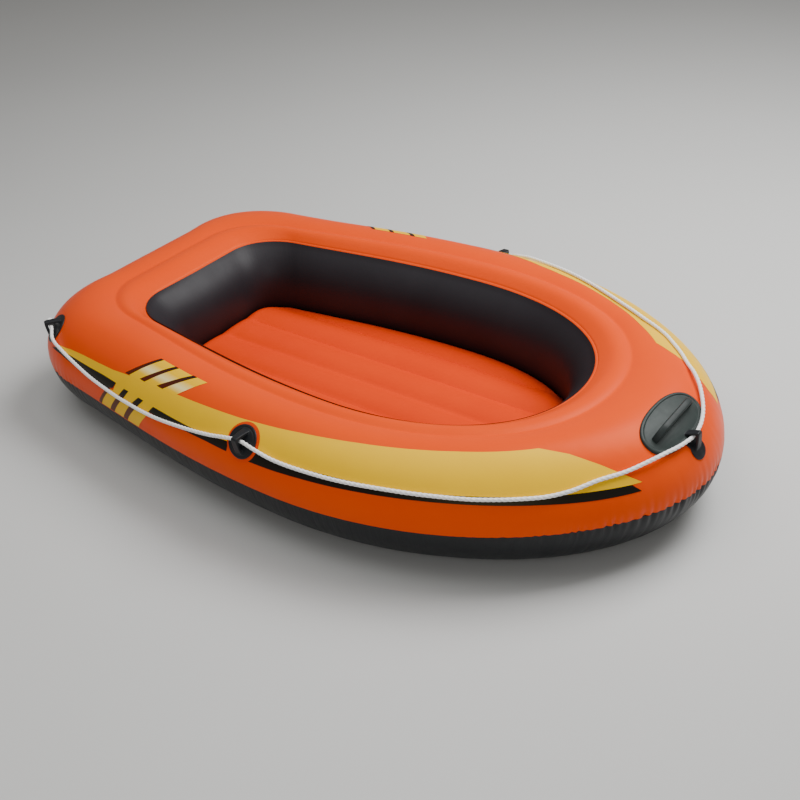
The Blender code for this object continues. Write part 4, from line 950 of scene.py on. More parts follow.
reach = EYE_WIDTH / 2 + GAP
ways = (1.0, 1.0, 1.0, -1.0, -1.0)
entries = [eye @ Vector((-way * reach, 0.0, EYE_AXIS)) for eye, way in zip(eyes, ways)]
exits = [eye @ Vector((way * reach, 0.0, EYE_AXIS)) for eye, way in zip(eyes, ways)]
stretches = []
for k, stops in enumerate(ROUTE):
    start, end = run_at(holder_places[k]), run_at(holder_places[k + 1])
    route = [exits[k]]
    for share, angle, lift_off in stops:
        place = float(place_at(start + (end - start) * share))
        route.append(side_point(place, float(angle)) + side_normal(place, float(angle)) * lift_off)
    stretches.append(through(route + [entries[k + 1]], ROPE_POINT_PITCH))
rope_path = np.concatenate([np.array([entries[0]])] + stretches + [np.array([exits[-1]])])

# %% Three strands, laid
LAY, STRAND_SHARE = 0.026, 0.26


def laid_rope(path, radius, around=18):
    """Rows of a tube whose section has three lobes that turn once in each lay."""
    runs = runs_along(path)
    even, line = evenly(path, runs, int(round(runs[-1] / ROPE_ROW_PITCH)))
    for _ in range(4):
        line[1:-1] = 0.25 * line[:-2] + 0.5 * line[1:-1] + 0.25 * line[2:]
    heading = unit(np.gradient(line, axis=0))
    side = np.zeros_like(line)
    side[0] = unit(np.cross(heading[0], (0.0, 0.0, 1.0)))
    for k in range(1, len(even)):
        lean = side[k - 1] - heading[k] * (side[k - 1] @ heading[k])
        side[k] = lean / np.linalg.norm(lean)
    other = np.cross(heading, side)
    turn = np.linspace(0.0, 2 * math.pi, around, endpoint=False)
    phase = 3.0 * (turn[None, :] - 2 * math.pi * even[:, None] / LAY)
    lobes = radius * (1.0 - STRAND_SHARE + STRAND_SHARE * np.abs(np.cos(0.5 * phase)) ** 0.8)
    ring = np.cos(turn)[None, :, None] * side[:, None] + np.sin(turn)[None, :, None] * other[:, None]
    points = line[:, None] + ring * lobes[..., None]
    points = np.concatenate((points, points[:, :1]), axis=1)
    around_share = np.linspace(0.0, 1.0, around + 1)
    uv = np.stack(np.broadcast_arrays(even[:, None] / LAY, around_share[None, :]), axis=-1)
    return points, uv, line


rope_points, rope_uv, rope_line = laid_rope(rope_path, ROPE / 2)


def away_from_rope(centre):
    """A point that a face of the rope looks towards."""
    nearest = rope_line[np.argmin(np.linalg.norm(rope_line - np.array(centre), axis=1))]
    return centre * 2 - Vector(nearest)


rope = lay_sheet("grab_line_rope", rope_points, rope_uv, away_from_rope, thick=0.0, angle=80.0)
edit(rope, lambda: bpy.ops.mesh.select_all(action="DESELECT"), lambda: bpy.ops.mesh.select_non_manifold(),
     lambda: bpy.ops.mesh.edge_face_add())
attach(rope, "boat")
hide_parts("grab_line")

# %% [markdown]
# ## Turned mouldings
#
# Valves are injection moulded, and every part of one is round. Half of the section is drawn as a closed line
# and the Screw modifier turns it about its axis.
# It is drawn on a circle whose points are moved, so the line closes by itself.


# %% Helpers for mouldings
def drawn(name, points):
    """A closed flat outline in local X and Y, drawn as a circle whose points are then moved."""
    obj = new_mesh(name, bpy.ops.mesh.primitive_circle_add, vertices=len(points), radius=0.01)
    for vert, point in zip(obj.data.vertices, points):
        vert.co = (point[0], point[1], 0.0)
    return obj


def turned(name, half_section, steps=56):
    """Moulding turned about local Z from a closed line of radius and height."""
    obj = drawn(name, half_section)
    for vert in obj.data.vertices:
        vert.co = (vert.co.x, 0.0, vert.co.y)
    add_modifier(obj, "SCREW", axis="Z", steps=steps, render_steps=steps, use_merge_vertices=True,
                 merge_threshold=1e-6)
    return face_outwards(weld(settle(obj)))


def pushed_out(name, outline, depth):
    """An outline in local X and Y, filled and extruded along Z."""
    obj = drawn(name, outline)
    edit(obj, lambda: bpy.ops.mesh.edge_face_add(),
         lambda: bpy.ops.mesh.extrude_region_move(TRANSFORM_OT_translate={"value": (0.0, 0.0, depth)}))
    return settle(face_outwards(obj))


def mirrored(half):
    """The other half of an outline, in the opposite order."""
    return [(-y, z) for y, z in reversed(half)]


def rounded(obj, width, segments, angle):
    """Round the edges of a moulding that are sharper than an angle."""
    add_modifier(obj, "BEVEL", width=width, segments=segments, limit_method="ANGLE", angle_limit=math.radians(angle))
    return settle(obj)


def joined(name, *pieces):
    """Several meshes made one object."""
    only(pieces[0])
    for piece in pieces[1:]:
        piece.select_set(True)
    bpy.ops.object.join()
    obj = bpy.context.active_object
    obj.name = obj.data.name = name
    return obj


def moved_to(obj, placed):
    """Move a piece's mesh from its own axes to its place on the boat."""
    obj.data.transform(placed)
    obj.data.update()
    return obj


# %% Setting a piece down on a sheet
LOOK_FROM, LOOK_FAR, FALL_CURVE = 0.06, 0.16, 0.24


def set_down(obj, placed, surface, weight, least=None):
    """Bend a piece, drawn on a flat face, to the surface under it."""
    look = (placed.to_3x3() @ down).normalized()
    for vert in obj.data.vertices:
        x, y, z = vert.co
        hit = surface.ray_cast(placed @ Vector((x, y, LOOK_FROM)), look, LOOK_FAR)[3]
        height = LOOK_FROM - hit if hit is not None else -(x * x + y * y) / FALL_CURVE
        z_new = z + (height + GAP) * weight(x, y, z)
        if least is not None:
            z_new = max(z_new, height + least)
        vert.co = placed @ Vector((x, y, z_new))
    obj.data.update()
    return obj


def flat_below(x, y, z):
    """All of the plate follows the hull, and less and less of the strap."""
    return min(max(1.0 - (z - 0.004) / 0.012, 0.0), 1.0)


wall_surface = surface_of(cockpit_wall)
floor_surface = surface_of(floor_top)

# %% [markdown]
# ## Moulded plates and rope holders
#
# A rope holder is moulded in soft vinyl: a thin round plate that is welded to the hull, with a strap that
# stands up in the middle like a small tent. The grab line runs under the strap.
# Plate and strap are drawn apart, then remeshed into one skin, which gives the soft fillets of a moulding.
# The plate is bent to the hull, while the strap keeps its form.

# %% Plates
PLATE_RINGS = (0.8, 0.6, 0.4, 0.2, 0.001)


def plate(name, ring_at, section, rings=PLATE_RINGS):
    """Plate drawn as rings. section lists (inset from the edge, height), rings the scales from there to 0."""
    edge, (last_inset, last_height) = ring_at(0.0), section[-1]
    loops = [(edge * scale, 0.0) for scale in (0.001, 0.35, 0.7)]
    loops += [(ring_at(inset), height) for inset, height in section]
    loops += [(ring_at(last_inset) * scale, last_height) for scale in rings]
    points = np.array([np.column_stack((loop, np.full(len(edge), height))) for loop, height in loops])
    points = np.concatenate((points, points[:, :1]), axis=1)
    return lay_sheet(name, points, points[..., :2], lambda centre: centre - UP, thick=0.0)


def round_ring(radius, steps=72):
    turn = np.linspace(0.0, 2 * math.pi, steps, endpoint=False)
    return lambda inset: (radius - inset) * np.column_stack((np.cos(turn), np.sin(turn)))


def oval_ring(half_x, half_y, squareness, steps=144):
    turn = np.linspace(0.0, 2 * math.pi, steps, endpoint=False)
    c, s = (np.sign(side) * np.abs(side) ** (2 / squareness) for side in (np.cos(turn), np.sin(turn)))
    return lambda inset: np.column_stack(((half_x - inset) * c, (half_y - inset) * s))


def drop_ring(toe, foot, span, steps=36):
    """Outline of two round ends joined by tangents, the first end at +Y."""
    tilt = math.asin((foot - toe) / span)

    def ring(inset):
        points = []
        for centre, radius, start, turn in ((span / 2, toe, -tilt, math.pi + 2 * tilt),
                                            (-span / 2, foot, math.pi + tilt, math.pi - 2 * tilt)):
            for angle in start + turn * np.linspace(0.0, 1.0, steps):
                points.append(((radius - inset) * math.cos(angle), centre + (radius - inset) * math.sin(angle)))
        return np.array(points)

    return ring


# %% Strap of a rope holder
EYE_SPREAD, EYE_HEIGHT, EYE_WALL = 0.023, 0.025, 0.0048
STRAP_TAPER, STRAP_ROUND, HOLDER_VOXEL = 0.25, 0.0014, 0.00062


def deep_along_x(obj, depth):
    """Turn an extruded outline from drawn X, Y and depth to Y, Z and X, its middle at 0."""
    for vert in obj.data.vertices:
        y, z, x = vert.co
        vert.co = (x - depth / 2, y, z)
    return face_outwards(obj)


def strap(name, spread=EYE_SPREAD, height=EYE_HEIGHT, wall=EYE_WALL):
    """Tent-shaped strap, its hole along local X, narrower towards the top."""
    slope = math.hypot(spread, height)
    inner_spread, inner_height = spread - wall * slope / height, height - wall * slope / spread
    half = [(-spread - 0.002, -0.001), (-spread, 0.0008), (-0.93 * spread, 0.0028),
            (-0.20 * spread, 0.88 * height), (-0.10 * spread, 0.97 * height)]
    inner = [(inner_spread, -0.001), (inner_spread, 0.0005), (0.12 * inner_spread, 0.90 * inner_height)]
    outline = half + [(0.0, height)] + mirrored(half) + inner + [(0.0, inner_height * 0.95)] + mirrored(inner)
    obj = deep_along_x(pushed_out(name, outline, EYE_WIDTH), EYE_WIDTH)
    for vert in obj.data.vertices:
        vert.co.x *= 1.0 - STRAP_TAPER * max(vert.co.z, 0.0) / height
    return rounded(obj, STRAP_ROUND, 3, 40.0)


def one_skin(obj):
    """Remesh joined shells into one skin and smooth it."""
    add_modifier(obj, "REMESH", mode="VOXEL", voxel_size=HOLDER_VOXEL)
    add_modifier(obj, "SMOOTH", factor=0.5, iterations=6)
    return smooth(settle(obj))


HOLDER_RADIUS = 0.0305
disc_section = ((0.0, 0.0), (0.0, 0.0012), (0.0005, 0.0019), (0.0012, PATCH), (0.0040, PATCH), (0.0046, 0.0017),
                (0.0058, 0.0017), (0.0064, PATCH), (0.0100, PATCH))
disc = plate("holder_disc", round_ring(HOLDER_RADIUS), disc_section)
holder_form = one_skin(joined("holder_form", disc, strap("holder_strap")))
print("one rope holder has", triangles(holder_form), "triangles")

# %% Four round holders
holders = []
for name, eye in (("stern_rope_holder_starboard", eyes[0]), ("rope_holder_starboard", eyes[1]),
                  ("rope_holder_port", eyes[3]), ("stern_rope_holder_port", eyes[4])):
    holder = holder_form.copy()
    holder.data = holder_form.data.copy()
    holder.name = holder.data.name = name + "_moulding"
    bpy.context.scene.collection.objects.link(holder)
    set_down(holder, eye, hull_surface, flat_below)
    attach(holder, "boat")
    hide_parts(name)
    holders.append(holder)
bpy.data.objects.remove(holder_form)
print("round holders:", len(holders))

# %% [markdown]
# ## Bow pad, grip and bow holder
#
# The pad keeps the hull from chafing where the boat is dragged by its grip. It is a squarish oval plate with
# a raised rim. The grip is a thick bar on two feet, wide enough for a child's hand.
# The third holder stands at the foot of the pad, on a plate that narrows to its foot.

# %% Bow pad
PAD_LENGTH, PAD_WIDTH, PAD_SQUARENESS, PAD_RIM = 0.160, 0.080, 2.3, 0.006
pad_place = placement(side_point(bow_place, PAD_ANGLE), side_normal(bow_place, PAD_ANGLE), (1.0, 0.0, 0.0))
pad_top = PATCH + PAD_RIM_HEIGHT
pad_section = ((0.0, 0.0), (0.0, pad_top - 0.0018), (0.0004, pad_top - 0.0008), (0.0011, pad_top - 0.0002),
               (0.0020, pad_top), (PAD_RIM - 0.0014, pad_top), (PAD_RIM - 0.0005, pad_top - 0.0005),
               (PAD_RIM, PATCH + 0.0005), (PAD_RIM + 0.0006, PATCH + 0.0001), (PAD_RIM + 0.0014, PATCH))
pad = plate("bow_pad_moulding", oval_ring(PAD_WIDTH / 2, PAD_LENGTH / 2, PAD_SQUARENESS), pad_section,
            [*np.linspace(0.94, 0.06, 14), 0.001])
smooth(set_down(pad, pad_place, hull_surface, lambda x, y, z: 1.0), 50.0)

# %% Bow grip
GRIP_LENGTH, GRIP_WIDTH, GRIP_HEIGHT, GRIP_BAR, GRIP_FOOT, GRIP_REACH = 0.128, 0.012, 0.022, 0.007, 0.016, 0.030
GRIP_ROUND = 0.0030
half, under = GRIP_LENGTH / 2, GRIP_HEIGHT - GRIP_BAR
ends = ((half, -GRIP_REACH), (half, 0.0), (half, 0.62 * GRIP_HEIGHT), (half - 1.5 * GRIP_FOOT, GRIP_HEIGHT))
outer_end = [(half, -GRIP_REACH)] + [tuple(p) for p in cubic(ends, np.linspace(0.35, 1.0, 9))]
inner_ends = ((half - GRIP_FOOT, 0.0), (half - GRIP_FOOT, 0.7 * under), (half - 1.2 * GRIP_FOOT, under),
              (half - 1.7 * GRIP_FOOT, under))
inner_end = [tuple(p) for p in cubic(inner_ends, np.linspace(1.0, 0.0, 7))] + [(half - GRIP_FOOT, -GRIP_REACH)]
crest = [(half - 1.5 * GRIP_FOOT - k * (2 * half - 3 * GRIP_FOOT) / 8, GRIP_HEIGHT) for k in range(1, 8)]
outline = outer_end + crest + mirrored(outer_end) + mirrored(inner_end) + inner_end
grip = deep_along_x(pushed_out("bow_grip_moulding", outline, GRIP_WIDTH), GRIP_WIDTH)
rounded(grip, GRIP_ROUND, 4, 50.0)
grip_rise = max(v.co.z for v in grip.data.vertices)
smooth(set_down(grip, pad_place, hull_surface, lambda x, y, z: 0.0, least=PATCH - 0.0006), 50.0)
print(f"grip {GRIP_LENGTH * 1000:.0f} mm long and {grip_rise * 1000:.0f} mm high")

# %% Bow holder
FOOT_RADIUS, HEAD_RADIUS, FOOT_SPAN, FOOT_SHIFT = 0.0180, 0.0260, 0.0160, 0.0138
UPPER_LEG, LOWER_LEG = 0.62, 1.2
drop_section = ((0.0, 0.0), (0.0, 0.0010), (0.0005, 0.0016), (0.0012, 0.0019), (0.0030, 0.0019))
drop = plate("bow_holder_plate", drop_ring(HEAD_RADIUS, FOOT_RADIUS, FOOT_SPAN), drop_section)
for vert in drop.data.vertices:
    vert.co.y -= FOOT_SHIFT
bow_strap = strap("bow_holder_strap", 0.0195, 0.0240, 0.0038)
for vert in bow_strap.data.vertices:
    vert.co.y *= UPPER_LEG if vert.co.y > 0 else LOWER_LEG
bow_holder = one_skin(joined("bow_rope_holder_moulding", drop, bow_strap))
set_down(bow_holder, eyes[2], hull_surface, flat_below)
for piece, solid in ((pad, "bow_pad"), (grip, "bow_grip"), (bow_holder, "bow_rope_holder")):
    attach(piece, "boat")
    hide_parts(solid)
print("bow fittings:", [triangles(p) for p in (pad, grip, bow_holder)], "triangles")

# %% [markdown]
# ## Stopper knots
#
# Each end of the grab line is held by a knot drawn up against its holder.
# The knot is turned from a lumpy section, with grooves that twist round it like the strands of the rope.

# %% Stopper knots
KNOT_LENGTH, KNOT_RADIUS = 0.018, 0.0070
KNOT_GROOVE, KNOT_TWIST = 0.13, 5.0
knot_section = [(0.0, 0.0), (0.55, 0.005), (0.80, 0.05), (0.97, 0.16), (1.0, 0.27), (0.93, 0.38), (0.84, 0.45),
                (0.92, 0.53), (1.0, 0.65), (0.95, 0.78), (0.78, 0.90), (0.52, 0.965), (0.30, 0.97), (0.28, 1.0),
                (0.0, 1.0)]
knots = []
for end, before, side in ((rope_line[0], rope_line[1], "starboard"), (rope_line[-1], rope_line[-2], "port")):
    knot = turned("knot_" + side, [(KNOT_RADIUS * r, KNOT_LENGTH * z) for r, z in knot_section], 48)
    for vert in knot.data.vertices:
        turn, share = math.atan2(vert.co.y, vert.co.x), vert.co.z / KNOT_LENGTH
        groove = 1.0 - KNOT_GROOVE * abs(math.sin(1.5 * (turn + KNOT_TWIST * share))) ** 6
        vert.co.x, vert.co.y = vert.co.x * groove, vert.co.y * groove
    heading = Vector(end - before).normalized()
    moved_to(knot, placement(Vector(end) + heading * GAP, heading, UP.cross(heading)))
    smooth(knot, 70.0)
    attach(knot, "boat")
    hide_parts("grab_line_knot_" + side)
    knots.append(knot)
print("knots:", [triangles(k) for k in knots], "triangles")

# %% [markdown]
# ## Valves
#
# Each chamber has a push-in valve: a cup welded into the sheet, a stem that slides out for blowing, a plug on
# a strap, and a flap at the stem's foot that keeps the air in.
# The sheet has a round hole for the cup, and the cup's flange is bent to the sheet.
# Stem, plug and flap ride on bodies of their own, because they move.

# %% Sizes of a valve
VALVE_FLANGE_RADIUS, CUP_RADIUS, CUP_WALL, CUP_DEPTH = 0.022, 0.0155, 0.0020, 0.016
STEM_RADIUS, STEM_BORE, STEM_TOP, STEM_LENGTH = 0.0062, 0.0042, 0.0020, 0.032
STEM_LIP_RADIUS, STEM_LIP = 0.0085, 0.0018
PLUG_HEAD_RADIUS, PLUG_HEAD, PLUG_DEPTH, PLUG_TIP_RADIUS = 0.0078, 0.0024, 0.0060, 0.0024
STRAP_WIDTH, STRAP_CORNER, HINGE_OFFSET, FLAP, FLAP_INSET = 0.0044, 0.0012, 0.0108, 0.0010, 0.0006
EAR_ROOT, EAR_OVERHANG, EAR_THICK, STRIP_LOW, STRIP_THICK, STRIP_REACH = 0.0015, 0.0016, 0.0009, 0.0004, 0.0008, 0.7
FLANGE_BEND_START, FLANGE_BEND = 0.0158, 0.0035
inner_cup, cup_floor, flange = CUP_RADIUS - CUP_WALL, -CUP_DEPTH + CUP_WALL, VALVE_FLANGE_RADIUS
neck, foot, lip_under = STEM_RADIUS + GAP, STEM_TOP - STEM_LENGTH, STEM_TOP - STEM_LIP
cup_section = [(neck, -CUP_DEPTH), (CUP_RADIUS - 0.0008, -CUP_DEPTH), (CUP_RADIUS, -CUP_DEPTH + 0.0008),
               (CUP_RADIUS, -0.0006), (0.0175, -0.0002), (flange - 0.0004, -0.0001), (flange, 0.0002),
               (flange, 0.0008), (flange - 0.0007, 0.0013), (0.0185, 0.0014), (0.0170, 0.0015), (0.0158, 0.0021),
               (CUP_RADIUS - 0.0006, 0.0024), (inner_cup + 0.0006, 0.0024), (inner_cup, 0.0018),
               (inner_cup, cup_floor + 0.001), (inner_cup - 0.0010, cup_floor), (neck, cup_floor)]
stem_section = [(STEM_BORE, foot), (STEM_RADIUS, foot), (STEM_RADIUS, lip_under - 0.0005),
                (STEM_RADIUS + 0.0005, lip_under), (STEM_LIP_RADIUS - 0.0004, lip_under),
                (STEM_LIP_RADIUS, lip_under + 0.0004), (STEM_LIP_RADIUS, STEM_TOP - 0.0005),
                (STEM_LIP_RADIUS - 0.0005, STEM_TOP), (STEM_BORE + 0.0003, STEM_TOP), (STEM_BORE, STEM_TOP - 0.0004)]
plug_section = [(0.0, -PLUG_DEPTH), (PLUG_TIP_RADIUS, -PLUG_DEPTH), (PLUG_TIP_RADIUS + 0.0003, -PLUG_DEPTH + 0.0006),
                (STEM_BORE - 0.0004, -0.0002), (STEM_BORE - 0.0004, 0.0), (PLUG_HEAD_RADIUS - 0.0003, 0.0),
                (PLUG_HEAD_RADIUS, 0.0004), (PLUG_HEAD_RADIUS, PLUG_HEAD - 0.0008),
                (PLUG_HEAD_RADIUS - 0.0008, PLUG_HEAD), (PLUG_HEAD_RADIUS - 0.0022, PLUG_HEAD),
                (PLUG_HEAD_RADIUS - 0.0028, PLUG_HEAD - 0.0007), (0.0012, PLUG_HEAD - 0.0008),
                (0.0, PLUG_HEAD - 0.0008)]
leaf_radius = STEM_RADIUS - FLAP_INSET
leaf_section = [(0.0, -FLAP), (leaf_radius - 0.0002, -FLAP), (leaf_radius, -FLAP + 0.0002), (leaf_radius, -0.0002),
                (leaf_radius - 0.0002, 0.0), (0.0, 0.0)]
print("stem", STEM_LENGTH, "m long, hinge", HINGE_OFFSET, "m from its middle")


# %% Making a valve
def shifted(x, z):
    return Matrix.Translation((x, 0.0, z))


def tab(name, length, start, low, thick):
    """Flat strip of the strap, along local X."""
    half, end = STRAP_WIDTH / 2, start + length
    outline = [(start, -half), (end - STRAP_CORNER, -half), (end, -half + STRAP_CORNER),
               (end, half - STRAP_CORNER), (end - STRAP_CORNER, half), (start, half)]
    strip = pushed_out(name, outline, thick)
    strip.data.transform(shifted(0.0, low))
    return strip


def flange_only(x, y, z):
    """The flange follows the sheet, and the cup inside it stays round."""
    return min(max((math.hypot(x, y) - FLANGE_BEND_START) / FLANGE_BEND, 0.0), 1.0)


def valve(tag, surface):
    placed = valve_places[tag]
    cup = set_down(turned(tag + "_cup", cup_section, 64), placed, surface, flange_only)
    stem = turned(tag + "_stem_tube", stem_section, 48)
    ear_start = STEM_LIP_RADIUS - EAR_ROOT
    ear = tab(tag + "_ear", HINGE_OFFSET + EAR_OVERHANG - ear_start, ear_start, lip_under, EAR_THICK)
    ear.data.transform(Matrix.Rotation(math.pi, 4, "Z"))
    stem = moved_to(joined(tag + "_stem_tube", stem, ear), placed)
    cap = turned(tag + "_plug_cap", plug_section, 48)
    cap.data.transform(shifted(HINGE_OFFSET, 0.0))
    strip = tab(tag + "_strip", HINGE_OFFSET - STRIP_REACH * PLUG_HEAD_RADIUS, 0.0, STRIP_LOW, STRIP_THICK)
    cap = moved_to(joined(tag + "_plug_cap", cap, strip), placed @ shifted(-HINGE_OFFSET, STEM_TOP + GAP))
    leaf = moved_to(turned(tag + "_flap_leaf", leaf_section, 36), placed @ shifted(0.0, foot - GAP))
    for piece, part in ((cup, "body"), (stem, "stem"), (cap, "plug"), (leaf, "flap")):
        smooth(piece, 35.0)
        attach(piece, "boat" if part == "body" else f"{tag}_{part}")
        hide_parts(f"{tag}_{part}")
    return [cup, stem, cap, leaf]


valve_pieces = valve("outer_valve", hull_surface) + valve("inner_valve", wall_surface)
floor_valve_pieces = valve("floor_valve", floor_surface)
print("pieces of the valves:", len(valve_pieces + floor_valve_pieces))

# %% [markdown]
# ## Finishes
#
# A finish starts from what the real surface is and how it was made. The sheets are calendered vinyl, rolled
# smooth between steel rolls, which leaves a satin sheet with a faint waviness. The prints are ink.
# The fittings are moulded vinyl and the line is twisted from synthetic fibre.
# Colours are given as on a screen and turned to linear light by one function.

# %% Helpers for finishes
MM = 0.001


def linear(colour):
    """A screen colour, such as #F2601C, as linear light."""
    values = [int(colour[k:k + 2], 16) / 255 for k in (1, 3, 5)]
    return tuple(c / 12.92 if c <= 0.04045 else ((c + 0.055) / 1.055) ** 2.4 for c in values) + (1.0,)


def fill(tree, made, inputs):
    """Set the values and the links of a node."""
    for key, value in inputs.items():
        if isinstance(value, bpy.types.NodeSocket):
            tree.links.new(value, made.inputs[key])
        else:
            made.inputs[key].default_value = value
    return made


def node(tree, kind, inputs, **settings):
    """One node with its settings, its values and its links."""
    made = tree.nodes.new("ShaderNode" + kind)
    for key, value in settings.items():
        setattr(made, key, value)
    return fill(tree, made, inputs)


def finish(name):
    """A new material with its nodes and its shader."""
    made = bpy.data.materials.new(name)
    made.use_nodes = True
    return made, made.node_tree, made.node_tree.nodes["Principled BSDF"]


def own_place(tree):
    """The place of a point in the boat's metres."""
    return node(tree, "TexCoord", {}).outputs["Object"]


def noise(tree, place, size, detail=2.0):
    """Noise whose lumps are about this many millimetres across."""
    made = node(tree, "TexNoise", {"Vector": place, "Scale": 1 / (size * MM), "Detail": detail})
    return made.outputs["Fac"]


def streaky(tree, place, scale, turn=0.0, detail=2.0):
    """Noise drawn out into lines."""
    lines = node(tree, "Mapping", {"Vector": place, "Rotation": (0.0, 0.0, turn), "Scale": scale})
    made = node(tree, "TexNoise", {"Vector": lines.outputs["Vector"], "Scale": 1.0, "Detail": detail})
    return made.outputs["Fac"]


def two_tones(tree, share, first, second):
    """From one colour to another, by a pattern."""
    return node(tree, "Mix", {0: share, 6: first, 7: second}, data_type="RGBA").outputs[2]


def bump(tree, height, strength, depth, under=None):
    """Relief of a pattern, its depth in millimetres, over another relief."""
    inputs = {"Height": height, "Strength": strength, "Distance": depth * MM}
    if under is not None:
        inputs["Normal"] = under
    return node(tree, "Bump", inputs).outputs["Normal"]


def gloss(tree, pattern, least, most):
    """Roughness that drifts with a pattern."""
    return node(tree, "MapRange", {"Value": pattern, "To Min": least, "To Max": most}).outputs["Result"]


def dress(obj, made):
    if obj.data.materials:
        for slot in obj.material_slots:
            slot.material = made
    else:
        obj.data.materials.append(made)


# %% Calendered vinyl
def calendered(name, pale, deep, roughness, wave_mm, creases=0.0, shine=0.5, tint="#FFFFFF"):
    """Vinyl sheet. Its colour drifts a little, it waves faintly, and creases run across the seam."""
    made, tree, shader = finish(name)
    place = own_place(tree)
    tone = two_tones(tree, noise(tree, place, 120, 3.0), linear(pale), linear(deep))
    wave, grain = noise(tree, place, wave_mm), noise(tree, place, 1.2, 1.0)
    relief = bump(tree, grain, 0.10, 0.08, bump(tree, wave, 0.35, 0.8))
    if creases:
        along = node(tree, "UVMap", {}).outputs["UV"]
        folded = streaky(tree, along, (1 / (9 * MM), 1 / (70 * MM), 1.0))
        relief = bump(tree, folded, creases, 1.2, relief)
    fill(tree, shader, {"Base Color": tone, "Roughness": gloss(tree, wave, roughness - 0.05, roughness + 0.06),
                        "Normal": relief, "IOR": 1.53, "Specular IOR Level": shine, "Specular Tint": linear(tint)})
    return made


# Rolled smooth and filled with pigment: a strong even orange. Pigment near the surface warms its sheen
orange_sheet = calendered("calendered_vinyl_orange", "#F0500A", "#EA4707", 0.37, 26, shine=0.22, tint="#FF9860")
# The floor is the same sheet, tight over its beams
floor_sheet_finish = calendered("calendered_vinyl_orange_floor", "#EC430A", "#E23A06", 0.46, 22, shine=0.16,
                                tint="#FFB48A")
# Dark sheet shows every crease where it gathers in the seam
bottom_sheet = calendered("calendered_vinyl_charcoal", "#191B1E", "#121417", 0.38, 30, 0.85, shine=0.27)
wall_sheet = calendered("calendered_vinyl_charcoal_wall", "#2C2A2E", "#201E22", 0.46, 34, 0.12, shine=0.20)
# Webs and divider are cut from the same dark sheet
inner_sheet = calendered("calendered_vinyl_charcoal_inside", "#333538", "#2B2D30", 0.45, 30)
# The ring round a middle holder is bare sheet
ring_sheet = calendered("calendered_vinyl_orange_bare", "#EC4700", "#E43E00", 0.42, 26, shine=0.30, tint="#FFB48A")
print("sheet finishes:", len(bpy.data.materials))


# %% Printing inks
def ink(name, colour, second, roughness, fade=None, stops=()):
    """Ink on vinyl: even, a little smoother than the sheet. Where a fade is given, its colour comes in at some degrees
    up the side: a thinner ink, or a painted highlight.
    """
    made, tree, shader = finish(name)
    place = own_place(tree)
    painted = two_tones(tree, noise(tree, place, 40, 3.0), linear(colour), linear(second))
    if fade:
        along = node(tree, "UVMap", {}, uv_map="print")
        parts = node(tree, "SeparateXYZ", {"Vector": along.outputs["UV"]})
        ramp = node(tree, "ValToRGB", {"Fac": parts.outputs["Y"]})
        marks = ramp.color_ramp.elements
        while len(marks) < len(stops):
            marks.new(1.0)
        for mark, (angle, share) in zip(marks, stops):
            mark.position, mark.color = angle / 90, (share, share, share, 1.0)
        painted = two_tones(tree, ramp.outputs["Color"], painted, linear(fade))
    relief = bump(tree, noise(tree, place, 1.5), 0.08, 0.06)
    fill(tree, shader, {"Base Color": painted, "Roughness": roughness, "Normal": relief, "IOR": 1.50,
                        "Specular IOR Level": 0.30, "Specular Tint": linear("#FFE2A0")})
    return made


yellow_ink = ink("screen_ink_yellow", "#F8C000", "#FBC700", 0.42)
# The bars over the band have a painted highlight across them: the yellow turns pale at about 53 degrees up the side.
painted_highlight_stops = ((0.0, 0.0), (47.0, 0.0), (53.0, 1.0), (60.0, 0.0))
painted_highlight_ink = ink("screen_ink_yellow_painted_highlight", "#F8C000", "#FBC700", 0.42, "#FFEBA4", painted_highlight_stops)
black_ink = ink("screen_ink_black", "#121113", "#171518", 0.36)
# The strokes beside the bars run from black to brown, where the black is printed thin over the orange
brown_stops = ((0.0, 0.85), (15.0, 0.75), (20.0, 0.0), (38.0, 0.0), (42.0, 0.9), (54.0, 0.6), (67.0, 0.1))
edge_ink = ink("screen_ink_black_to_brown", "#141113", "#191517", 0.38, "#5E1D0C", brown_stops)


# %% Moulded vinyl
def moulded(name, pale, deep, roughness, streaks=0.0, shine=0.5):
    """Moulded soft vinyl: satin, with the faint texture of an eroded mould and flow streaks along local Y."""
    made, tree, shader = finish(name)
    place = own_place(tree)
    flow = noise(tree, place, 14, 3.0)
    relief = bump(tree, noise(tree, place, 0.9), 0.25, 0.10)
    if streaks:
        lines = streaky(tree, place, (1 / (5 * MM), 1 / (60 * MM), 1 / (5 * MM)), turn=0.35)
        relief = bump(tree, lines, streaks, 0.5, relief)
    fill(tree, shader, {"Base Color": two_tones(tree, flow, linear(pale), linear(deep)), "Normal": relief,
                        "Roughness": gloss(tree, flow, roughness - 0.05, roughness + 0.07), "IOR": 1.52,
                        "Specular IOR Level": shine})
    return made


pad_moulding = moulded("moulded_vinyl_slate", "#303A37", "#232B29", 0.44, streaks=0.35, shine=0.20)
grip_moulding = moulded("moulded_vinyl_slate_grip", "#2A3130", "#202625", 0.48, shine=0.24)
holder_moulding = moulded("moulded_vinyl_black", "#232528", "#1A1B1E", 0.38, shine=0.26)
# Valves are clear vinyl whitened with a little pigment: pale, a little glossy
valve_moulding = moulded("moulded_vinyl_milky", "#D9D9D2", "#CBCCC5", 0.34)
# On the orange floor the same clear vinyl takes the colour of the sheet under it
floor_valve_moulding = moulded("moulded_vinyl_clear_over_orange", "#D9572A", "#CC4D22", 0.34)


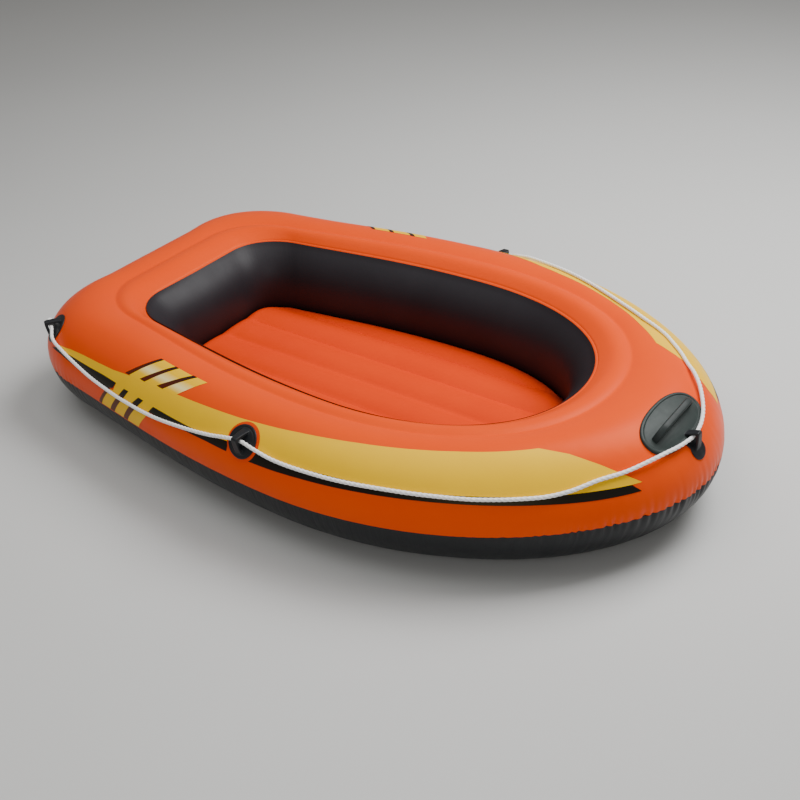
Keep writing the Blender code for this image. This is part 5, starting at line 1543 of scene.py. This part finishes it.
# %% Twisted fibre
def twisted_fibre(name, pale, deep):
    """White synthetic rope: thousands of fine fibres that lie along each strand."""
    made, tree, shader = finish(name)
    along = node(tree, "UVMap", {}).outputs["UV"]
    fibres = streaky(tree, along, (34.0, 3.0, 1.0), turn=math.radians(45), detail=3.0)
    fill(tree, shader, {"Base Color": two_tones(tree, fibres, linear(deep), linear(pale)), "Roughness": 0.70,
                        "Sheen Weight": 0.3, "Sheen Roughness": 0.4, "Normal": bump(tree, fibres, 0.5, 0.35)})
    return made


rope_fibre = twisted_fibre("twisted_polyester_white", "#FFFFFF", "#F1F0EC")

# %% Dress every piece
inside = [solid for name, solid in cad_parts.items()
          if name.startswith("floor_web") or name in ("chamber_divider", "floor_bottom_skin")]
for pieces, made in (([hull_top], orange_sheet), ([hull_bottom], bottom_sheet), ([cockpit_wall], wall_sheet),
                     ([floor_top], floor_sheet_finish), ([rope, *knots], rope_fibre), ([pad], pad_moulding),
                     ([grip], grip_moulding), ([bow_holder, *holders], holder_moulding),
                     (valve_pieces, valve_moulding), (floor_valve_pieces, floor_valve_moulding),
                     (yellow_prints, yellow_ink), (highlighted_bar_prints, painted_highlight_ink), (edge_prints, edge_ink),
                     (black_prints, black_ink), (holder_rings, ring_sheet), (inside, inner_sheet)):
    for piece in pieces:
        dress(piece, made)
print("finishes:", len(bpy.data.materials))

# %% [markdown]
# ## Studio
#
# The boat stands on a pale floor. One broad soft lamp stands over its port bow, so that the deck is bright, the
# beams of the floor show and the near side falls off to a deeper red. Weaker ones hang over it and fill the near side.


# %% Floor and lamps
def studio_floor_paint():
    """Matt paint with a barely seen cloudiness."""
    made, tree, shader = finish("studio_paint_pale")
    cloud = node(tree, "TexNoise", {"Vector": own_place(tree), "Scale": 1.2, "Detail": 2.0}).outputs["Fac"]
    fill(tree, shader, {"Base Color": two_tones(tree, cloud, linear("#CFCFCD"), linear("#C9C9C7")), "Roughness": 0.9})
    return made


bpy.ops.object.select_all(action="DESELECT")
bpy.ops.mesh.primitive_plane_add(size=30.0, location=(0.0, 0.0, -0.0005))
ground = bpy.context.active_object
ground.name = "studio_floor"
dress(ground, studio_floor_paint())


def lamp(name, place, size, power, target=(0.0, 0.0, 0.1)):
    light = bpy.data.objects.new(name, bpy.data.lights.new(name, "AREA"))
    bpy.context.scene.collection.objects.link(light)
    light.data.shape = "RECTANGLE"
    light.data.size = light.data.size_y = size
    light.data.energy = power
    light.location = place
    light.rotation_euler = (Vector(target) - Vector(place)).to_track_quat("-Z", "Y").to_euler()


lamp("key", (0.85, 1.1, 2.2), 1.5, 84)
lamp("top", (-0.3, -0.6, 2.7), 2.0, 26)
lamp("fill", (1.6, -2.4, 1.6), 1.6, 14)
world = bpy.data.worlds.new("studio")
bpy.context.scene.world = world
world.use_nodes = True
sky = world.node_tree.nodes["Background"]
fill(world.node_tree, sky, {"Color": (1.0, 0.98, 0.95, 1.0), "Strength": 0.23})
